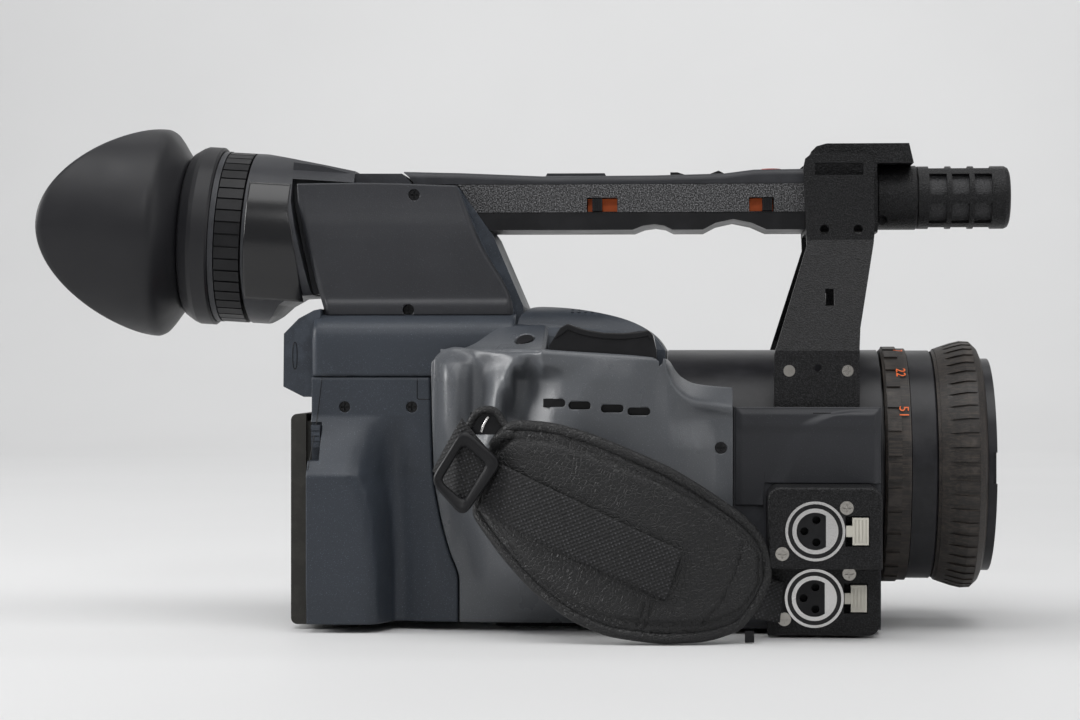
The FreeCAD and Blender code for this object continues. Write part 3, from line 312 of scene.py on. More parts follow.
# Plain finishes: colour, roughness, grain size, bump, colour drift, edge wear, then the rest.
MATS = {
    "casing_blue_grey": moulded("casing_blue_grey", BLUE_GREY, 0.42, 2600, 0.35, 0.12, 0.2, painted_sparkle=1.6),
    "casing_grey": moulded("casing_grey", GREY, 0.36, 2600, 0.45, 0.06, 0.1, painted_sparkle=0.9),
    "casing_dark": moulded("casing_dark", (0.028, 0.029, 0.033), 0.42, 2400, 0.3, 0.1, 0.2, painted_sparkle=0.8),
    # The last number of a crackle finish sets how bright its painted glints are.
    "black_metal": crackle("black_metal", (0.007, 0.007, 0.0075), 0.36, 1500.0, 0.9, 4.0),
    "black_plastic": moulded("black_plastic", (0.009, 0.009, 0.010), 0.4, 2400, 0.2, 0.2, 0.2,
                             specular=0.22),
    "gloss_black": moulded("gloss_black", (0.010, 0.010, 0.011), 0.2, 2000, 0.05, 0.1, 0.1),
    "lens_black": moulded("lens_black", (0.014, 0.014, 0.016), 0.34, 2400, 0.2, 0.12, 0.2, specular=0.25),
    "lens_rubber": streaked(moulded("lens_rubber", (0.020, 0.018, 0.017), 0.5, 1800, 0.3, 0.2, 0.5,
                                    (0.10, 0.085, 0.075)),
                            (110.0, 1500.0, 1500.0), (0.085, 0.066, 0.052), 0.55),
    "rubber": moulded("rubber", (0.014, 0.014, 0.016), 0.42, 2400, 0.12, 0.08),
    "screw_steel": front_steel(moulded("screw_steel", (0.012, 0.012, 0.013), 0.3, 1500, 0.2, 0.35), 0.06),
    "bright_metal": moulded("bright_metal", (0.60, 0.59, 0.58), 0.24, 1500, 0.1, 0.12, metallic=1.0),
    "ivory_plastic": moulded("ivory_plastic", (0.52, 0.50, 0.44), 0.4, 1500, 0.15, 0.15),
    "orange_plastic": moulded("orange_plastic", (0.75, 0.14, 0.03), 0.45, 1500, 0.1, 0.1),
    "red_plastic": moulded("red_plastic", (0.42, 0.02, 0.015), 0.3, 1500, 0.1, 0.1),
    "circuit": moulded("circuit", (0.02, 0.1, 0.05), 0.4, 900, 0.2, 0.3),
    "glass": glassy("glass", (0.01, 0.012, 0.018)),
    "screen_glass": glassy("screen_glass", (0.006, 0.006, 0.008), 0.08),
    "mesh_steel": crackle("mesh_steel", (0.05, 0.05, 0.052), 0.5, 1500.0, 1.0),
    "battery_plastic": moulded("battery_plastic", (0.026, 0.025, 0.022), 0.45, 2400, 0.25, 0.12, 0.2,
                               painted_sparkle=0.8),
    "strap_leather": leather("strap_leather", (0.0055, 0.0055, 0.006)),
    "webbing": woven("webbing", (0.0045, 0.0045, 0.005), (0.914, 0, -0.406), (0.406, 0, 0.914)),
}
# Handle side plates: crackle with strong painted glints on the pebble tops.
PLATE_PAINT = crackle("plate_paint", (0.030, 0.030, 0.031), 0.28, 1350.0, 1.0, 7.0)
OWN_FINISH = {"handle_side_plates": PLATE_PAINT, "handle_bottom": MATS["black_plastic"],
              "battery_release": MATS["casing_blue_grey"], "grip_rocker": MATS["gloss_black"]}
LABEL_GLOSS = moulded("label_gloss", (0.006, 0.006, 0.007), 0.2, 900, 0.1, 0.1, specular=0.5)
GRIP_PAINT = two_tone(moulded("grip_paint", GREY, 0.3, 2600, 0.5, 0.06, 0.1, painted_sparkle=0.9, specular=0.42),
                      0.1135, 0.0035, BLUE_GREY + (1,))

SLOTS = {entry["node"]: entry["material_slot"] for entry in frame["record"]["subparts"]}
SHARP_NODES = ("eyecup", "hand_strap_pad", "strap_webbing", "screws", "electronics", "mic_mesh")


def dress_frame():
    """Give every CAD node its finish, and all but the sharp ones a small rounded edge."""
    for name, obj in frame["nodes"].items():
        mat = OWN_FINISH.get(name) or MATS[SLOTS[name]]
        if not obj.material_slots:
            obj.data.materials.append(mat)
        for entry in obj.material_slots:
            entry.material = mat
        if name in SHARP_NODES:
            continue
        bevel = round_edges(obj, 0.0004, 2)
        bevel.limit_method = "ANGLE"
        bevel.angle_limit = math.radians(38)
        bevel.use_clamp_overlap = True
        bevel.harden_normals = True


# ------------------------------------------------------------------ mesh helpers
def linked(name, data):
    """A new object in the scene for some data."""
    obj = bpy.data.objects.new(name, data)
    bpy.context.scene.collection.objects.link(obj)
    return obj


def mesh_object(name, verts, faces, mat, body=BODY, smooth=True):
    mesh = bpy.data.meshes.new(name)
    mesh.from_pydata([(x * MM, y * MM, z * MM) for x, y, z in verts], [], faces)
    mesh.validate()
    obj = linked(name, mesh)
    obj.data.materials.append(mat)
    bm = bmesh.new()
    bm.from_mesh(mesh)
    bmesh.ops.recalc_face_normals(bm, faces=bm.faces)
    bm.to_mesh(mesh)
    bm.free()
    for poly in mesh.polygons:
        poly.use_smooth = smooth
    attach(obj, body)
    return obj


def grid_faces(columns, rows, wrap=False):
    """Quads of a sheet whose points run row by row inside each column."""
    faces = []
    for i in range(columns if wrap else columns - 1):
        j = (i + 1) % columns
        for k in range(rows - 1):
            faces.append((i * rows + k, j * rows + k, j * rows + k + 1, i * rows + k + 1))
    return faces


def bar_faces(columns, rows, wrap=True):
    """Quads of a bar whose closed section has rows points, its ends joined if wrapped."""
    faces = []
    for i in range(columns if wrap else columns - 1):
        j = (i + 1) % columns
        faces += [(i * rows + k, j * rows + k, j * rows + (k + 1) % rows, i * rows + (k + 1) % rows)
                  for k in range(rows)]
    return faces


def shell_faces(columns, rows):
    """Faces of a closed shell: a front sheet, a back sheet behind it and the edge between."""
    count = columns * rows
    faces = grid_faces(columns, rows)
    faces += [tuple(index + count for index in face[::-1]) for face in faces]
    border = [i * rows for i in range(columns)]
    border += [(columns - 1) * rows + k for k in range(1, rows)]
    border += [i * rows + rows - 1 for i in range(columns - 2, -1, -1)]
    border += list(range(rows - 2, 0, -1))
    return faces + [(a, b, b + count, a + count) for a, b in zip(border, border[1:] + border[:1])]


def round_edges(obj, width, segments=3):
    """A bevel on every edge, width in metres."""
    edge = obj.modifiers.new("edge", "BEVEL")
    edge.width = width
    edge.segments = segments
    return edge


def tube(name, path, radius, mat, sides, closed=False):
    """A round cord of constant size along a smooth path, fixed to the camera body."""
    curve = bpy.data.curves.new(name, "CURVE")
    curve.dimensions = "3D"
    curve.bevel_depth = radius * MM
    curve.bevel_resolution = sides // 2
    spline = curve.splines.new("NURBS")
    spline.points.add(len(path) - 1)
    for point, (x, y, z) in zip(spline.points, path):
        point.co = (x * MM, y * MM, z * MM, 1)
    spline.use_cyclic_u = closed
    spline.order_u = 3
    spline.use_endpoint_u = not closed
    curve.use_fill_caps = True
    obj = linked(name, curve)
    obj.data.materials.append(mat)
    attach(obj, BODY)
    return obj


def block(name, low, high, slot="gloss_black"):
    """A plain box between two corners."""
    verts = [(x, y, z) for x in (low[0], high[0]) for y in (low[1], high[1]) for z in (low[2], high[2])]
    faces = [(0, 1, 3, 2), (4, 6, 7, 5), (0, 4, 5, 1), (2, 3, 7, 6), (0, 2, 6, 4), (1, 5, 7, 3)]
    obj = mesh_object(name, verts, faces, MATS[slot], smooth=False)


def seam(name, line, depth, radius=0.16):
    """A hairline joint between two mouldings, following the shaped face."""
    places = []
    for (x0, z0), (x1, z1) in zip(line, line[1:]):
        places += [(x0 + (x1 - x0) * k / 8, z0 + (z1 - z0) * k / 8) for k in range(8)]
    places.append(line[-1])
    path = [(x, SIDE_WALL - depth(x, z), z) for x, z in places]
    obj = tube(name, path, radius, MATS["gloss_black"], 4)


def disc_ring(name, centre, outer, inner, front, back, slot):
    """A flat ring facing the operator's right, between two depths."""
    x, z = centre
    count = 64
    verts = []
    for i in range(count):
        c, s = math.cos(2 * math.pi * i / count), math.sin(2 * math.pi * i / count)
        verts += [(x + radius * c, y, z + radius * s)
                  for radius, y in ((outer, front), (inner, front), (inner, back), (outer, back))]
    obj = mesh_object(name, verts, bar_faces(count, 4), MATS[slot], smooth=False)


# ------------------------------------------------------------------ eyecup
EVF_AT = Vector((-139.0, 0.0, 153.0))
EVF_TURN = Matrix.Rotation(math.radians(3.5), 3, "Y")


def on_evf(x, y, z):
    """A point drawn with the viewfinder level, tilted onto its real axis."""
    moved = EVF_TURN @ (Vector((x, y, z)) - EVF_AT) + EVF_AT
    return (moved.x, moved.y, moved.z)


CUP_OUTLINE = [(-219.5, 40.0), (-205, 40.8), (-190, 41.4), (-181, 41.7), (-176, 41.6), (-173.4, 40.6),
               (-171.2, 38.2), (-169.0, 35.0), (-167.0, 32.2), (-165.2, 30.2), (-164.9, 29.0)]
CUP_FRONT = -165.0
CUP_WALL = 2.4


def build_eyecup():
    """Flared rubber cup whose rim reaches far back on the operator's right side."""
    columns, half = 120, 30
    verts = []
    for i in range(columns):
        angle = 2 * math.pi * i / columns
        side, up = -math.cos(angle), math.sin(angle)
        rim = -175.6 - 42.3 * max(-side, 0.0) ** 1.32
        outer = []
        for k in range(half + 1):
            x = CUP_FRONT + (rim - CUP_FRONT) * (k / half) ** 1.25
            outer.append((x, smooth_line(CUP_OUTLINE, x)))
        lip = [(rim - 0.9 * math.sin(bend * math.pi / 2), outer[half][1] - 0.5 * CUP_WALL * bend)
               for bend in (0.35, 0.8)]
        inner = [(x, radius - CUP_WALL) for x, radius in outer[::-1]]
        for x, radius in outer + lip + inner:
            verts.append(on_evf(x, side * radius, EVF_AT.z + up * radius))
    rows = len(verts) // columns
    faces = grid_faces(columns, rows, wrap=True)
    for i in range(columns):
        j = (i + 1) % columns
        faces.append((i * rows, i * rows + rows - 1, j * rows + rows - 1, j * rows))
    cup = mesh_object("eyecup_rubber", verts, faces, MATS["rubber"], "viewfinder")
    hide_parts("eyecup")


# ------------------------------------------------------------------ side panels of the body
SEAM = [(3.3, -52.8), (19.5, -52.8), (31.0, -56.6), (45.0, -60.2), (60.0, -62.6), (97.5, -63.6)]


def seam_x(z):
    return smooth_line(SEAM, z)


def panel(name, left, right, low, high, depth, mat, columns, rows, back=-42.2):
    """A closed moulded panel: front face shaped by depth(x, z), plain back."""
    verts = []
    for i in range(columns):
        u = i / (columns - 1)
        for k in range(rows):
            v = k / (rows - 1)
            z = 0.5 * (low(0) + high(0))
            for _ in range(6):
                x = left(z) + (right(z) - left(z)) * u
                z = low(x) + (high(x) - low(x)) * v
            verts.append((x, SIDE_WALL - depth(x, z), z))
    verts += [(x, back, z) for x, _, z in verts]
    return mesh_object(name, verts, shell_faces(columns, rows), mat)


# Bulge of the grip casing over the side wall: height, then (place along the body, depth).
GRIP_ROWS = [
    (3.3, [(-53, 0.6), (-20, 1.5), (20, 1.5), (52, 0.6)]),
    (10, [(-53, 0.8), (-45, 2.0), (-25, 6), (0, 9), (20, 9), (40, 6), (52, 4)]),
    (25, [(-56, 0.9), (-49, 3.2), (-40, 10.5), (-28, 17), (-10, 22), (8, 24), (24, 23), (38, 18),
          (52, 10)]),
    (50, [(-61, 1.0), (-56, 3.5), (-47, 12), (-38, 18.5), (-26, 23), (-10, 27), (6, 28.5), (20, 28),
          (34, 23.5), (44, 17), (52, 12.5)]),
    (70, [(-62, 1.4), (-59, 7), (-55, 12.5), (-50, 15), (-46, 15.6), (-40, 20), (-34, 21.8), (-30, 21.4),
          (-20, 24.5), (-8, 27.6), (5, 28.6), (17, 28), (28, 25.5), (38, 20.5), (44, 15.5), (46, 13.8),
          (52, 12)]),
    (82, [(-62, 2.2), (-59.5, 9), (-56, 14.0), (-52, 15.6), (-48.5, 14.2), (-46, 11.6), (-43.5, 12.6),
          (-39.5, 18.2), (-36.6, 20.2), (-35.2, 19.4), (-33.2, 14.6), (-30, 13.6), (-24, 17.4),
          (-14, 24.5), (-2, 28.4), (10, 28.8), (20, 27), (28, 23.5), (36, 18.5), (43.5, 13.2), (45, 12.6),
          (52, 10.5)]),
    (96, [(-62, 2.0), (-59.5, 8.5), (-56, 13.2), (-52, 14.4), (-48.5, 12.6), (-46, 9.6), (-43.5, 9.8),
          (-36.6, 17.6), (-32.8, 20.4), (-31.4, 19.8), (-29.2, 14.0), (-26, 13.6), (-20, 18.0),
          (-10, 25.2), (2, 28.4), (12, 28.2), (22, 25.5), (28, 22)]),
    (102.6, [(-62, 1.2), (-59.5, 6.4), (-56, 10.6), (-52, 11.6), (-48.5, 9.8), (-46, 8.6), (-43.5, 9.2),
             (-36, 15.4), (-29.6, 20.4), (-27.6, 20.8), (-24.8, 19.8), (-21.6, 22.0), (-18.4, 25.6),
             (-6, 26.6), (4, 27.6), (16, 26.8), (28, 23)]),
    (106.4, [(-62, 0.6), (-58, 2.6), (-54.5, 5.4), (-51, 5.8), (-47, 6.8), (-42, 10.2), (-34, 16.2),
             (-27, 20.6), (-22, 23.6), (-18.6, 25.8), (-8, 26.2), (4, 26.6), (16, 26.0), (28, 23.8)]),
    (109.6, [(-62, 0.3), (-54, 2.2), (-50, 4.0), (-40, 8.2), (-30, 12.0), (-20.5, 15.0), (-18.8, 24.0),
             (28, 24.2)]),
]
CREASE = [(27.2, 103.4), (29, 97.0), (31.5, 93.2), (36.5, 89.2), (46.5, 86.5), (52.3, 85.3)]


GRIP_TOP = [(-63, 103.0), (-60.4, 106.4), (-57, 108.4), (-53.5, 109.0), (-49.5, 108.6), (-46, 108.3),
            (-21, 108.3), (-18, 108.0), (27.0, 104.4), (28.6, 103.2), (30.4, 100.2), (33, 97.4), (38, 95.0),
            (46.5, 93.9), (52.3, 93.5)]
GRIP_FRONT = 52.3
CREASE_START = 27.2
BODY_FLOOR = 3.3
FINGER_SLOTS = ((-14.5, 87.9), (-4.9, 87.0), (7.3, 85.9), (17.2, 84.8))


def grip_top(x):
    return smooth_line(GRIP_TOP, x)


def grip_depth(x, z):
    if x <= CREASE_START:
        depth = field(GRIP_ROWS, x, z)
        if x > -18:
            depth -= 0.8 * (1 - step(0, 1.2, grip_top(x) - z))
        return max(depth, 0.5)
    crease, top = smooth_line(CREASE, x), grip_top(x)
    depth = field(GRIP_ROWS, x, min(z, crease))
    depth -= 0.7 * (1 - step(0, 1.6, abs(z - crease)))
    if z > crease:
        share = (z - crease) / max(top - crease, 0.5)
        depth -= (depth - 1.5) * min(share, 1.0) ** 1.15
    return max(depth, 0.5)


def rounded_cutter(name, centre, size, radius):
    """A box with four rounded corners in side view, used only to cut openings."""
    bm = bmesh.new()
    bmesh.ops.create_cube(bm, size=1.0)
    bmesh.ops.scale(bm, vec=[s * MM for s in size], verts=bm.verts)
    edges = [e for e in bm.edges if abs((e.verts[0].co - e.verts[1].co).normalized().y) > 0.9]
    bmesh.ops.bevel(bm, geom=edges, offset=radius * MM, segments=5, affect="EDGES", profile=0.5)
    mesh = bpy.data.meshes.new(name)
    bm.to_mesh(mesh)
    bm.free()
    obj = linked(name, mesh)
    obj.location = [c * MM for c in centre]
    return obj


def carve(target, cutters):
    """Cut the openings out of a panel and drop the cutters."""
    bpy.context.view_layer.update()
    for cutter in cutters:
        tool = target.modifiers.new("cut", "BOOLEAN")
        tool.operation = "DIFFERENCE"
        tool.solver = "EXACT"
        tool.object = cutter
    graph = bpy.context.evaluated_depsgraph_get()
    shaped = bpy.data.meshes.new_from_object(target.evaluated_get(graph))
    target.modifiers.clear()
    target.data = shaped
    for cutter in cutters:
        bpy.data.objects.remove(cutter)


BUTTON = Vector((-26.6, -50.5))
BUTTON_RADIUS = 3.1
DECK_EDGE = -41.0


def bridge_start(x):
    """Where the shoulder leaves the face of the grip."""
    return -41.6 - grip_depth(x, 107.0)


def bridge_height(x, y):
    """Height of the sloped shoulder between the grip face and the top casing."""
    start = bridge_start(x)
    share = min(max((y - start) / (DECK_EDGE - start), 0.0), 1.0)
    return 108.2 + 9.2 * step(0, 18, x + 54) * share ** 1.5


def build_bridge():
    """Shoulder that carries the grip moulding back up to the top casing, round the push button."""
    columns, rows = 140, 60
    left, right, under = -61.6, -18.2, 104.8
    verts = []
    for i in range(columns):
        x = left + (right - left) * i / (columns - 1)
        start = bridge_start(x)
        for k in range(rows):
            y = start + (DECK_EDGE - start) * k / (rows - 1)
            hole = 1 - step(3.5, 3.9, (Vector((x, y)) - BUTTON).length)
            edge = 1.2 * (1 - step(0, 1.4, right - x))
            verts.append((x, y, bridge_height(x, y) - 2.6 * hole - edge))
    verts += [(x, y, under) for x, y, _ in verts]
    bridge = mesh_object("grip_shoulder", verts, shell_faces(columns, rows), GRIP_PAINT)
    count = 32
    turns = [2 * math.pi * k / count for k in range(count)]
    rim = [BUTTON + BUTTON_RADIUS * Vector((math.cos(angle), math.sin(angle))) for angle in turns]
    verts = [(x, y, bridge_height(x, y) + 0.1) for x, y in rim] + [(x, y, 107.0) for x, y in rim]
    faces = [tuple(range(count)), tuple(range(2 * count - 1, count - 1, -1))]
    faces += [(k, k + count, (k + 1) % count + count, (k + 1) % count) for k in range(count)]
    cap = mesh_object("grip_button_cap", verts, faces, MATS["black_plastic"], "grip_push", smooth=False)
    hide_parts("grip_button")


def build_rear_mark():
    """Outline of the small flap in the side of the rear control block."""
    corners = [(-117.8, 110.9), (-117.8, 100.5), (-116.1, 100.5), (-116.1, 110.9)]
    line = [(x, -37.08, z) for x, z in corners]
    mark = tube("rear_flap_seam", line, 0.16, MATS["gloss_black"], 4, closed=True)


def build_rocker_lip():
    """Rolled lip along the concave top of the zoom rocker."""
    top = [(-14.6, 112.6), (-12.3, 116.1), (-9.5, 117.7), (-5.6, 116.2), (-2.2, 115.3), (4.0, 114.3),
           (11.2, 114.1), (17, 114.6), (20.5, 115.3), (22.2, 113.6)]
    low = []
    for x, z in top:
        shift = 0.9 if x < -12 else -0.4 if x > 22 else 0
        low.append((x + shift, z - (0.6 if x < -14 else 2.5)))
    loop = top + low[::-1]
    count = len(loop)
    verts = [(x, y, z) for y in (-66.5, -48.0) for x, z in loop]
    faces = [(k, k + count, (k + 1) % count + count, (k + 1) % count) for k in range(count)]
    half = len(top)
    for k in range(half - 1):
        a, b, c, d = k, k + 1, count - 2 - k, count - 1 - k
        faces += [(a, b, c, d), (d + count, c + count, b + count, a + count)]
    lip = mesh_object("grip_rocker_lip", verts, faces, MATS["black_plastic"], "grip_rocker_body",
                      smooth=False)
    round_edges(lip, 0.0007)


def build_grip():
    """Grip casing with its finger slots, rocker pocket and screw hole."""
    grip = panel("grip_shell", lambda z: seam_x(min(z, 97.5)) + 0.5, lambda z: GRIP_FRONT,
                 lambda x: BODY_FLOOR, grip_top, grip_depth, GRIP_PAINT, 200, 150)
    cutters = [rounded_cutter("cut_slot", (x, -68, z), (8.4, 14, 3.0), 1.3) for x, z in FINGER_SLOTS]
    cutters.append(rounded_cutter("cut_pocket", (3.8, -54.2, 117.0), (44.8, 24.0, 31), 2.5))
    cutters.append(rounded_cutter("cut_pivot", (3.6, -55.8, 104.0), (6.4, 23.4, 11.6), 0.6))
    cutters.append(rounded_cutter("cut_screw", (47.8, -56, 70.8), (4.6, 12, 4.6), 2.28))
    carve(grip, cutters)
    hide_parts("grip_casing")
    for number, (x, z) in enumerate(FINGER_SLOTS):
        block("grip_slot_floor_%d" % number, (x - 4.3, -64.6, z - 1.6), (x + 4.3, -61.6, z + 1.6))


# Bulge and hollow of the rear side cover, laid out like GRIP_ROWS.
COVER_ROWS = [
    (3.3, [(-109.6, 13), (-88, 13), (-83.5, 11), (-80, 3), (-77.5, -3), (-74.5, -3.7), (-70, -2.6),
           (-62, -0.6), (-50, 0)]),
    (20, [(-109.6, 15), (-86.5, 15), (-83.0, 13.4), (-80, 4), (-77.5, -3), (-74.5, -3.7), (-70, -2.6),
          (-62, -0.6), (-50, 0)]),
    (40, [(-109.6, 15), (-88.5, 15), (-84.6, 13), (-81, 4), (-78.5, -2.8), (-75.5, -3.7), (-70.5, -2.6),
          (-62, -0.6), (-50, 0)]),
    (52, [(-109.6, 15), (-92, 15), (-87.2, 13), (-83, 5), (-79.6, -2.4), (-76.2, -3.6), (-71, -2.4),
          (-62, -0.5), (-50, 0)]),
    (59.6, [(-109.6, 15), (-95, 15), (-90, 13), (-85.5, 5.5), (-81, -2), (-77, -3.6), (-71.5, -2.4),
            (-62, -0.4), (-50, 0)]),
    (63, [(-109.6, 12.4), (-95.5, 12.4), (-90.5, 10.4), (-85.5, 4), (-81, -1.6), (-77, -3.2), (-71.5, -1.8),
          (-62, -0.2), (-50, 0)]),
    (72, [(-109.6, 6.5), (-94, 6.5), (-89, 5), (-84.4, 1.4), (-80, -1.2), (-76, -2), (-70, -0.6), (-62, 0),
          (-50, 0)]),
    (80.5, [(-109.6, 1.0), (-90, 1.0), (-83, 0.3), (-76, -0.4), (-66, 0), (-50, 0)]),
    (83, [(-109.6, 0), (-90, 0), (-50, 0)]),
    (97.5, [(-109.6, 0), (-90, 0), (-50, 0)]),
]


def cover_depth(x, z):
    depth = 0.4 + field(COVER_ROWS, x, z)
    return depth - 0.5 * (1 - step(0, 0.9, 97.5 - z)) - 0.6 * (1 - step(0, 0.8, seam_x(z) - x))


def build_cover():
    """Rear side cover with its hollow, screw holes and strap notch."""
    cover = panel("side_cover_shell", lambda z: -109.6, lambda z: seam_x(z) - 0.1, lambda x: BODY_FLOOR,
                  lambda x: 97.6, cover_depth, MATS["casing_blue_grey"], 120, 120, back=-36.0)
    cutters = [rounded_cutter("cut_hole", (x, -42, 85.9), (4.4, 8, 4.4), 2.15) for x in (-96.8, -70.8)]
    cutters.append(rounded_cutter("cut_notch", (-107.6, -50, 72.8), (4.6, 15.6, 14.7), 0.6))
    carve(cover, cutters)
    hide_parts("rear_side_cover")
    seam("cover_seam_rear", [(-105.6, 97.2), (-106.4, 90), (-107.4, 82), (-109.2, 62)], cover_depth)
    seam("cover_seam_tab", [(-68.7, 97.2), (-68.7, 89.4), (-68.2, 88.9), (-63.8, 88.9)], cover_depth)


# ------------------------------------------------------------------ hand strap
STRAP_LINE = [(-46, -70), (-38, -77), (-28, -82.5), (-14, -86.5), (0, -88.5), (16, -89.5), (32, -88.8),
              (44, -86.5), (55, -82.0), (66, -75.0)]
PAD_REAR, PAD_FRONT = -42.3, 64.2
PAD_TOP = [(-42.5, 50), (-38.5, 66), (-33, 77), (-27.8, 80.2), (-13.8, 79.1), (0.1, 75.1), (14.4, 69.3),
           (28.3, 63.1), (39.9, 56.2), (54.5, 46.0), (61.4, 38.4), (63.9, 31.1), (64.4, 26.0)]
PAD_LOW = [(-42.5, 47), (-41.5, 45), (-30.7, 31.5), (-20.8, 21.0), (-6.9, 10.5), (7.0, 4.8), (25.3, 2.4),
           (42.0, 3.0), (53.8, 6.6), (60.0, 14.0), (63.4, 21), (64.4, 24)]


def strap_y(x):
    """Middle depth of the strap, pulled round the hand."""
    return smooth_line(STRAP_LINE, x)


def pad_edge(count):
    """Points round the pad outline in side view."""
    points = []
    for line, order in ((PAD_TOP, 1), (PAD_LOW, -1)):
        part = []
        for i in range(count):
            t = i / (count - 1) * (len(line) - 1)
            k = min(int(t), len(line) - 2)
            (x0, z0), (x1, z1) = line[k], line[k + 1]
            part.append((x0 + (x1 - x0) * (t - k), z0 + (z1 - z0) * (t - k)))
        points += part[::order]
    return points


# Short stitched channels across the pad, each from one (x, z) to another.
PAD_SEAMS = [((-33.6, 46.6), (-26.2, 49.8)), ((-31.6, 44.4), (-24.2, 47.8)), ((17.2, 7.2), (20.0, 15.6)),
             ((19.8, 6.6), (22.4, 14.8)), ((40.6, 7.6), (48.0, 16.0)), ((48.0, 16.0), (54.2, 30.0)),
             ((54.2, 30.0), (55.4, 37.6))]


def pad_channel(x, z, rim):
    """Depth of the sewn channels in the outer face of the pad."""
    depth = math.exp(-((rim - 5.2) / 0.8) ** 2) * 0.9
    for (ax, az), (bx, bz) in PAD_SEAMS:
        run, rise = bx - ax, bz - az
        share = ((x - ax) * run + (z - az) * rise) / (run * run + rise * rise)
        off = abs((x - ax) * rise - (z - az) * run) / math.hypot(run, rise)
        if -0.02 < share < 1.02:
            depth += 0.7 * math.exp(-(off / 0.55) ** 2)
    return depth


def build_pad():
    """Crowned leather pad with its rolled binding."""
    columns, rows = 200, 60
    verts = []
    for side in (-1, 1):
        for i in range(columns):
            u = i / (columns - 1)
            x = PAD_REAR + (PAD_FRONT - PAD_REAR) * (0.5 - 0.5 * math.cos(math.pi * u))
            low, high = smooth_line(PAD_LOW, x), smooth_line(PAD_TOP, x)
            for k in range(rows):
                z = low + (high - low) * (0.5 - 0.5 * math.cos(math.pi * k / (rows - 1)))
                rim = min(z - low, high - z, 2.0 * (x - PAD_REAR), 2.0 * (PAD_FRONT - x))
                crown = 1.0 + 2.6 * step(0, 9.0, rim) ** 0.7
                sunk = pad_channel(x, z, rim) if side < 0 else 0.0
                verts.append((x, strap_y(x) + side * (crown - sunk), z))
    pad = mesh_object("strap_pad_leather", verts, shell_faces(columns, rows), MATS["strap_leather"])
    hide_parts("hand_strap_pad")
    edge = [(x, strap_y(x) - 0.6, z) for x, z in pad_edge(30)]
    binding = tube("strap_pad_binding", edge, 2.1, MATS["strap_leather"], 14, closed=True)


def ribbon(name, corners, lift, thick, columns, rows, line=None):
    """A woven strip: corners a-b across one end, d-c across the other, over the pad or along a line."""
    a, b, c, d = corners
    verts = []
    for side in (-1, 1):
        for i in range(columns):
            u = i / (columns - 1)
            for k in range(rows):
                v = k / (rows - 1)
                x = (a[0] * (1 - v) + b[0] * v) * (1 - u) + (d[0] * (1 - v) + c[0] * v) * u
                z = (a[1] * (1 - v) + b[1] * v) * (1 - u) + (d[1] * (1 - v) + c[1] * v) * u
                y = smooth_line(line, x) if line else strap_y(x) - lift
                verts.append((x, y - 0.35 * math.sin(math.pi * v) + side * thick / 2, z))
    return mesh_object(name, verts, shell_faces(columns, rows), MATS["webbing"])


def build_webbing():
    """The strip on the pad, the loop through the buckle and the tail to the front lug."""
    strip = ribbon("strap_strip", [(-32.6, 65.6), (-42.4, 48.4), (27.6, 16.7), (33.4, 34.5)],
                   4.6, 1.5, 90, 14)
    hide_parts("strap_webbing")
    through = ribbon("strap_loop", [(-47.6, 82.6), (-60.4, 62.4), (-47.4, 48.6), (-34.6, 67.2)],
                     0, 1.4, 30, 14, [(-60, -66), (-54, -78), (-48, -84.2), (-42, -85.2), (-34, -84.6)])
    front = ribbon("strap_tail", [(58.6, 26.0), (48.6, 11.6), (69.6, 6.4), (71.0, 21.0)],
                   0, 1.6, 26, 12, [(48, -82), (56, -81.0), (62, -77), (67, -70.4), (71, -66.6)])


def rounded_loop(corners, radius):
    """A closed line through four corners with rounded turns, in side view."""
    loop = []
    count = 5
    total = len(corners)
    for i in range(total):
        here, before, after = Vector(corners[i]), Vector(corners[i - 1]), Vector(corners[(i + 1) % total])
        a = here + (before - here).normalized() * radius
        b = here + (after - here).normalized() * radius
        for k in range(count):
            t = k / (count - 1)
            loop.append((a.lerp(here, t)).lerp(here.lerp(b, t), t))
    return loop


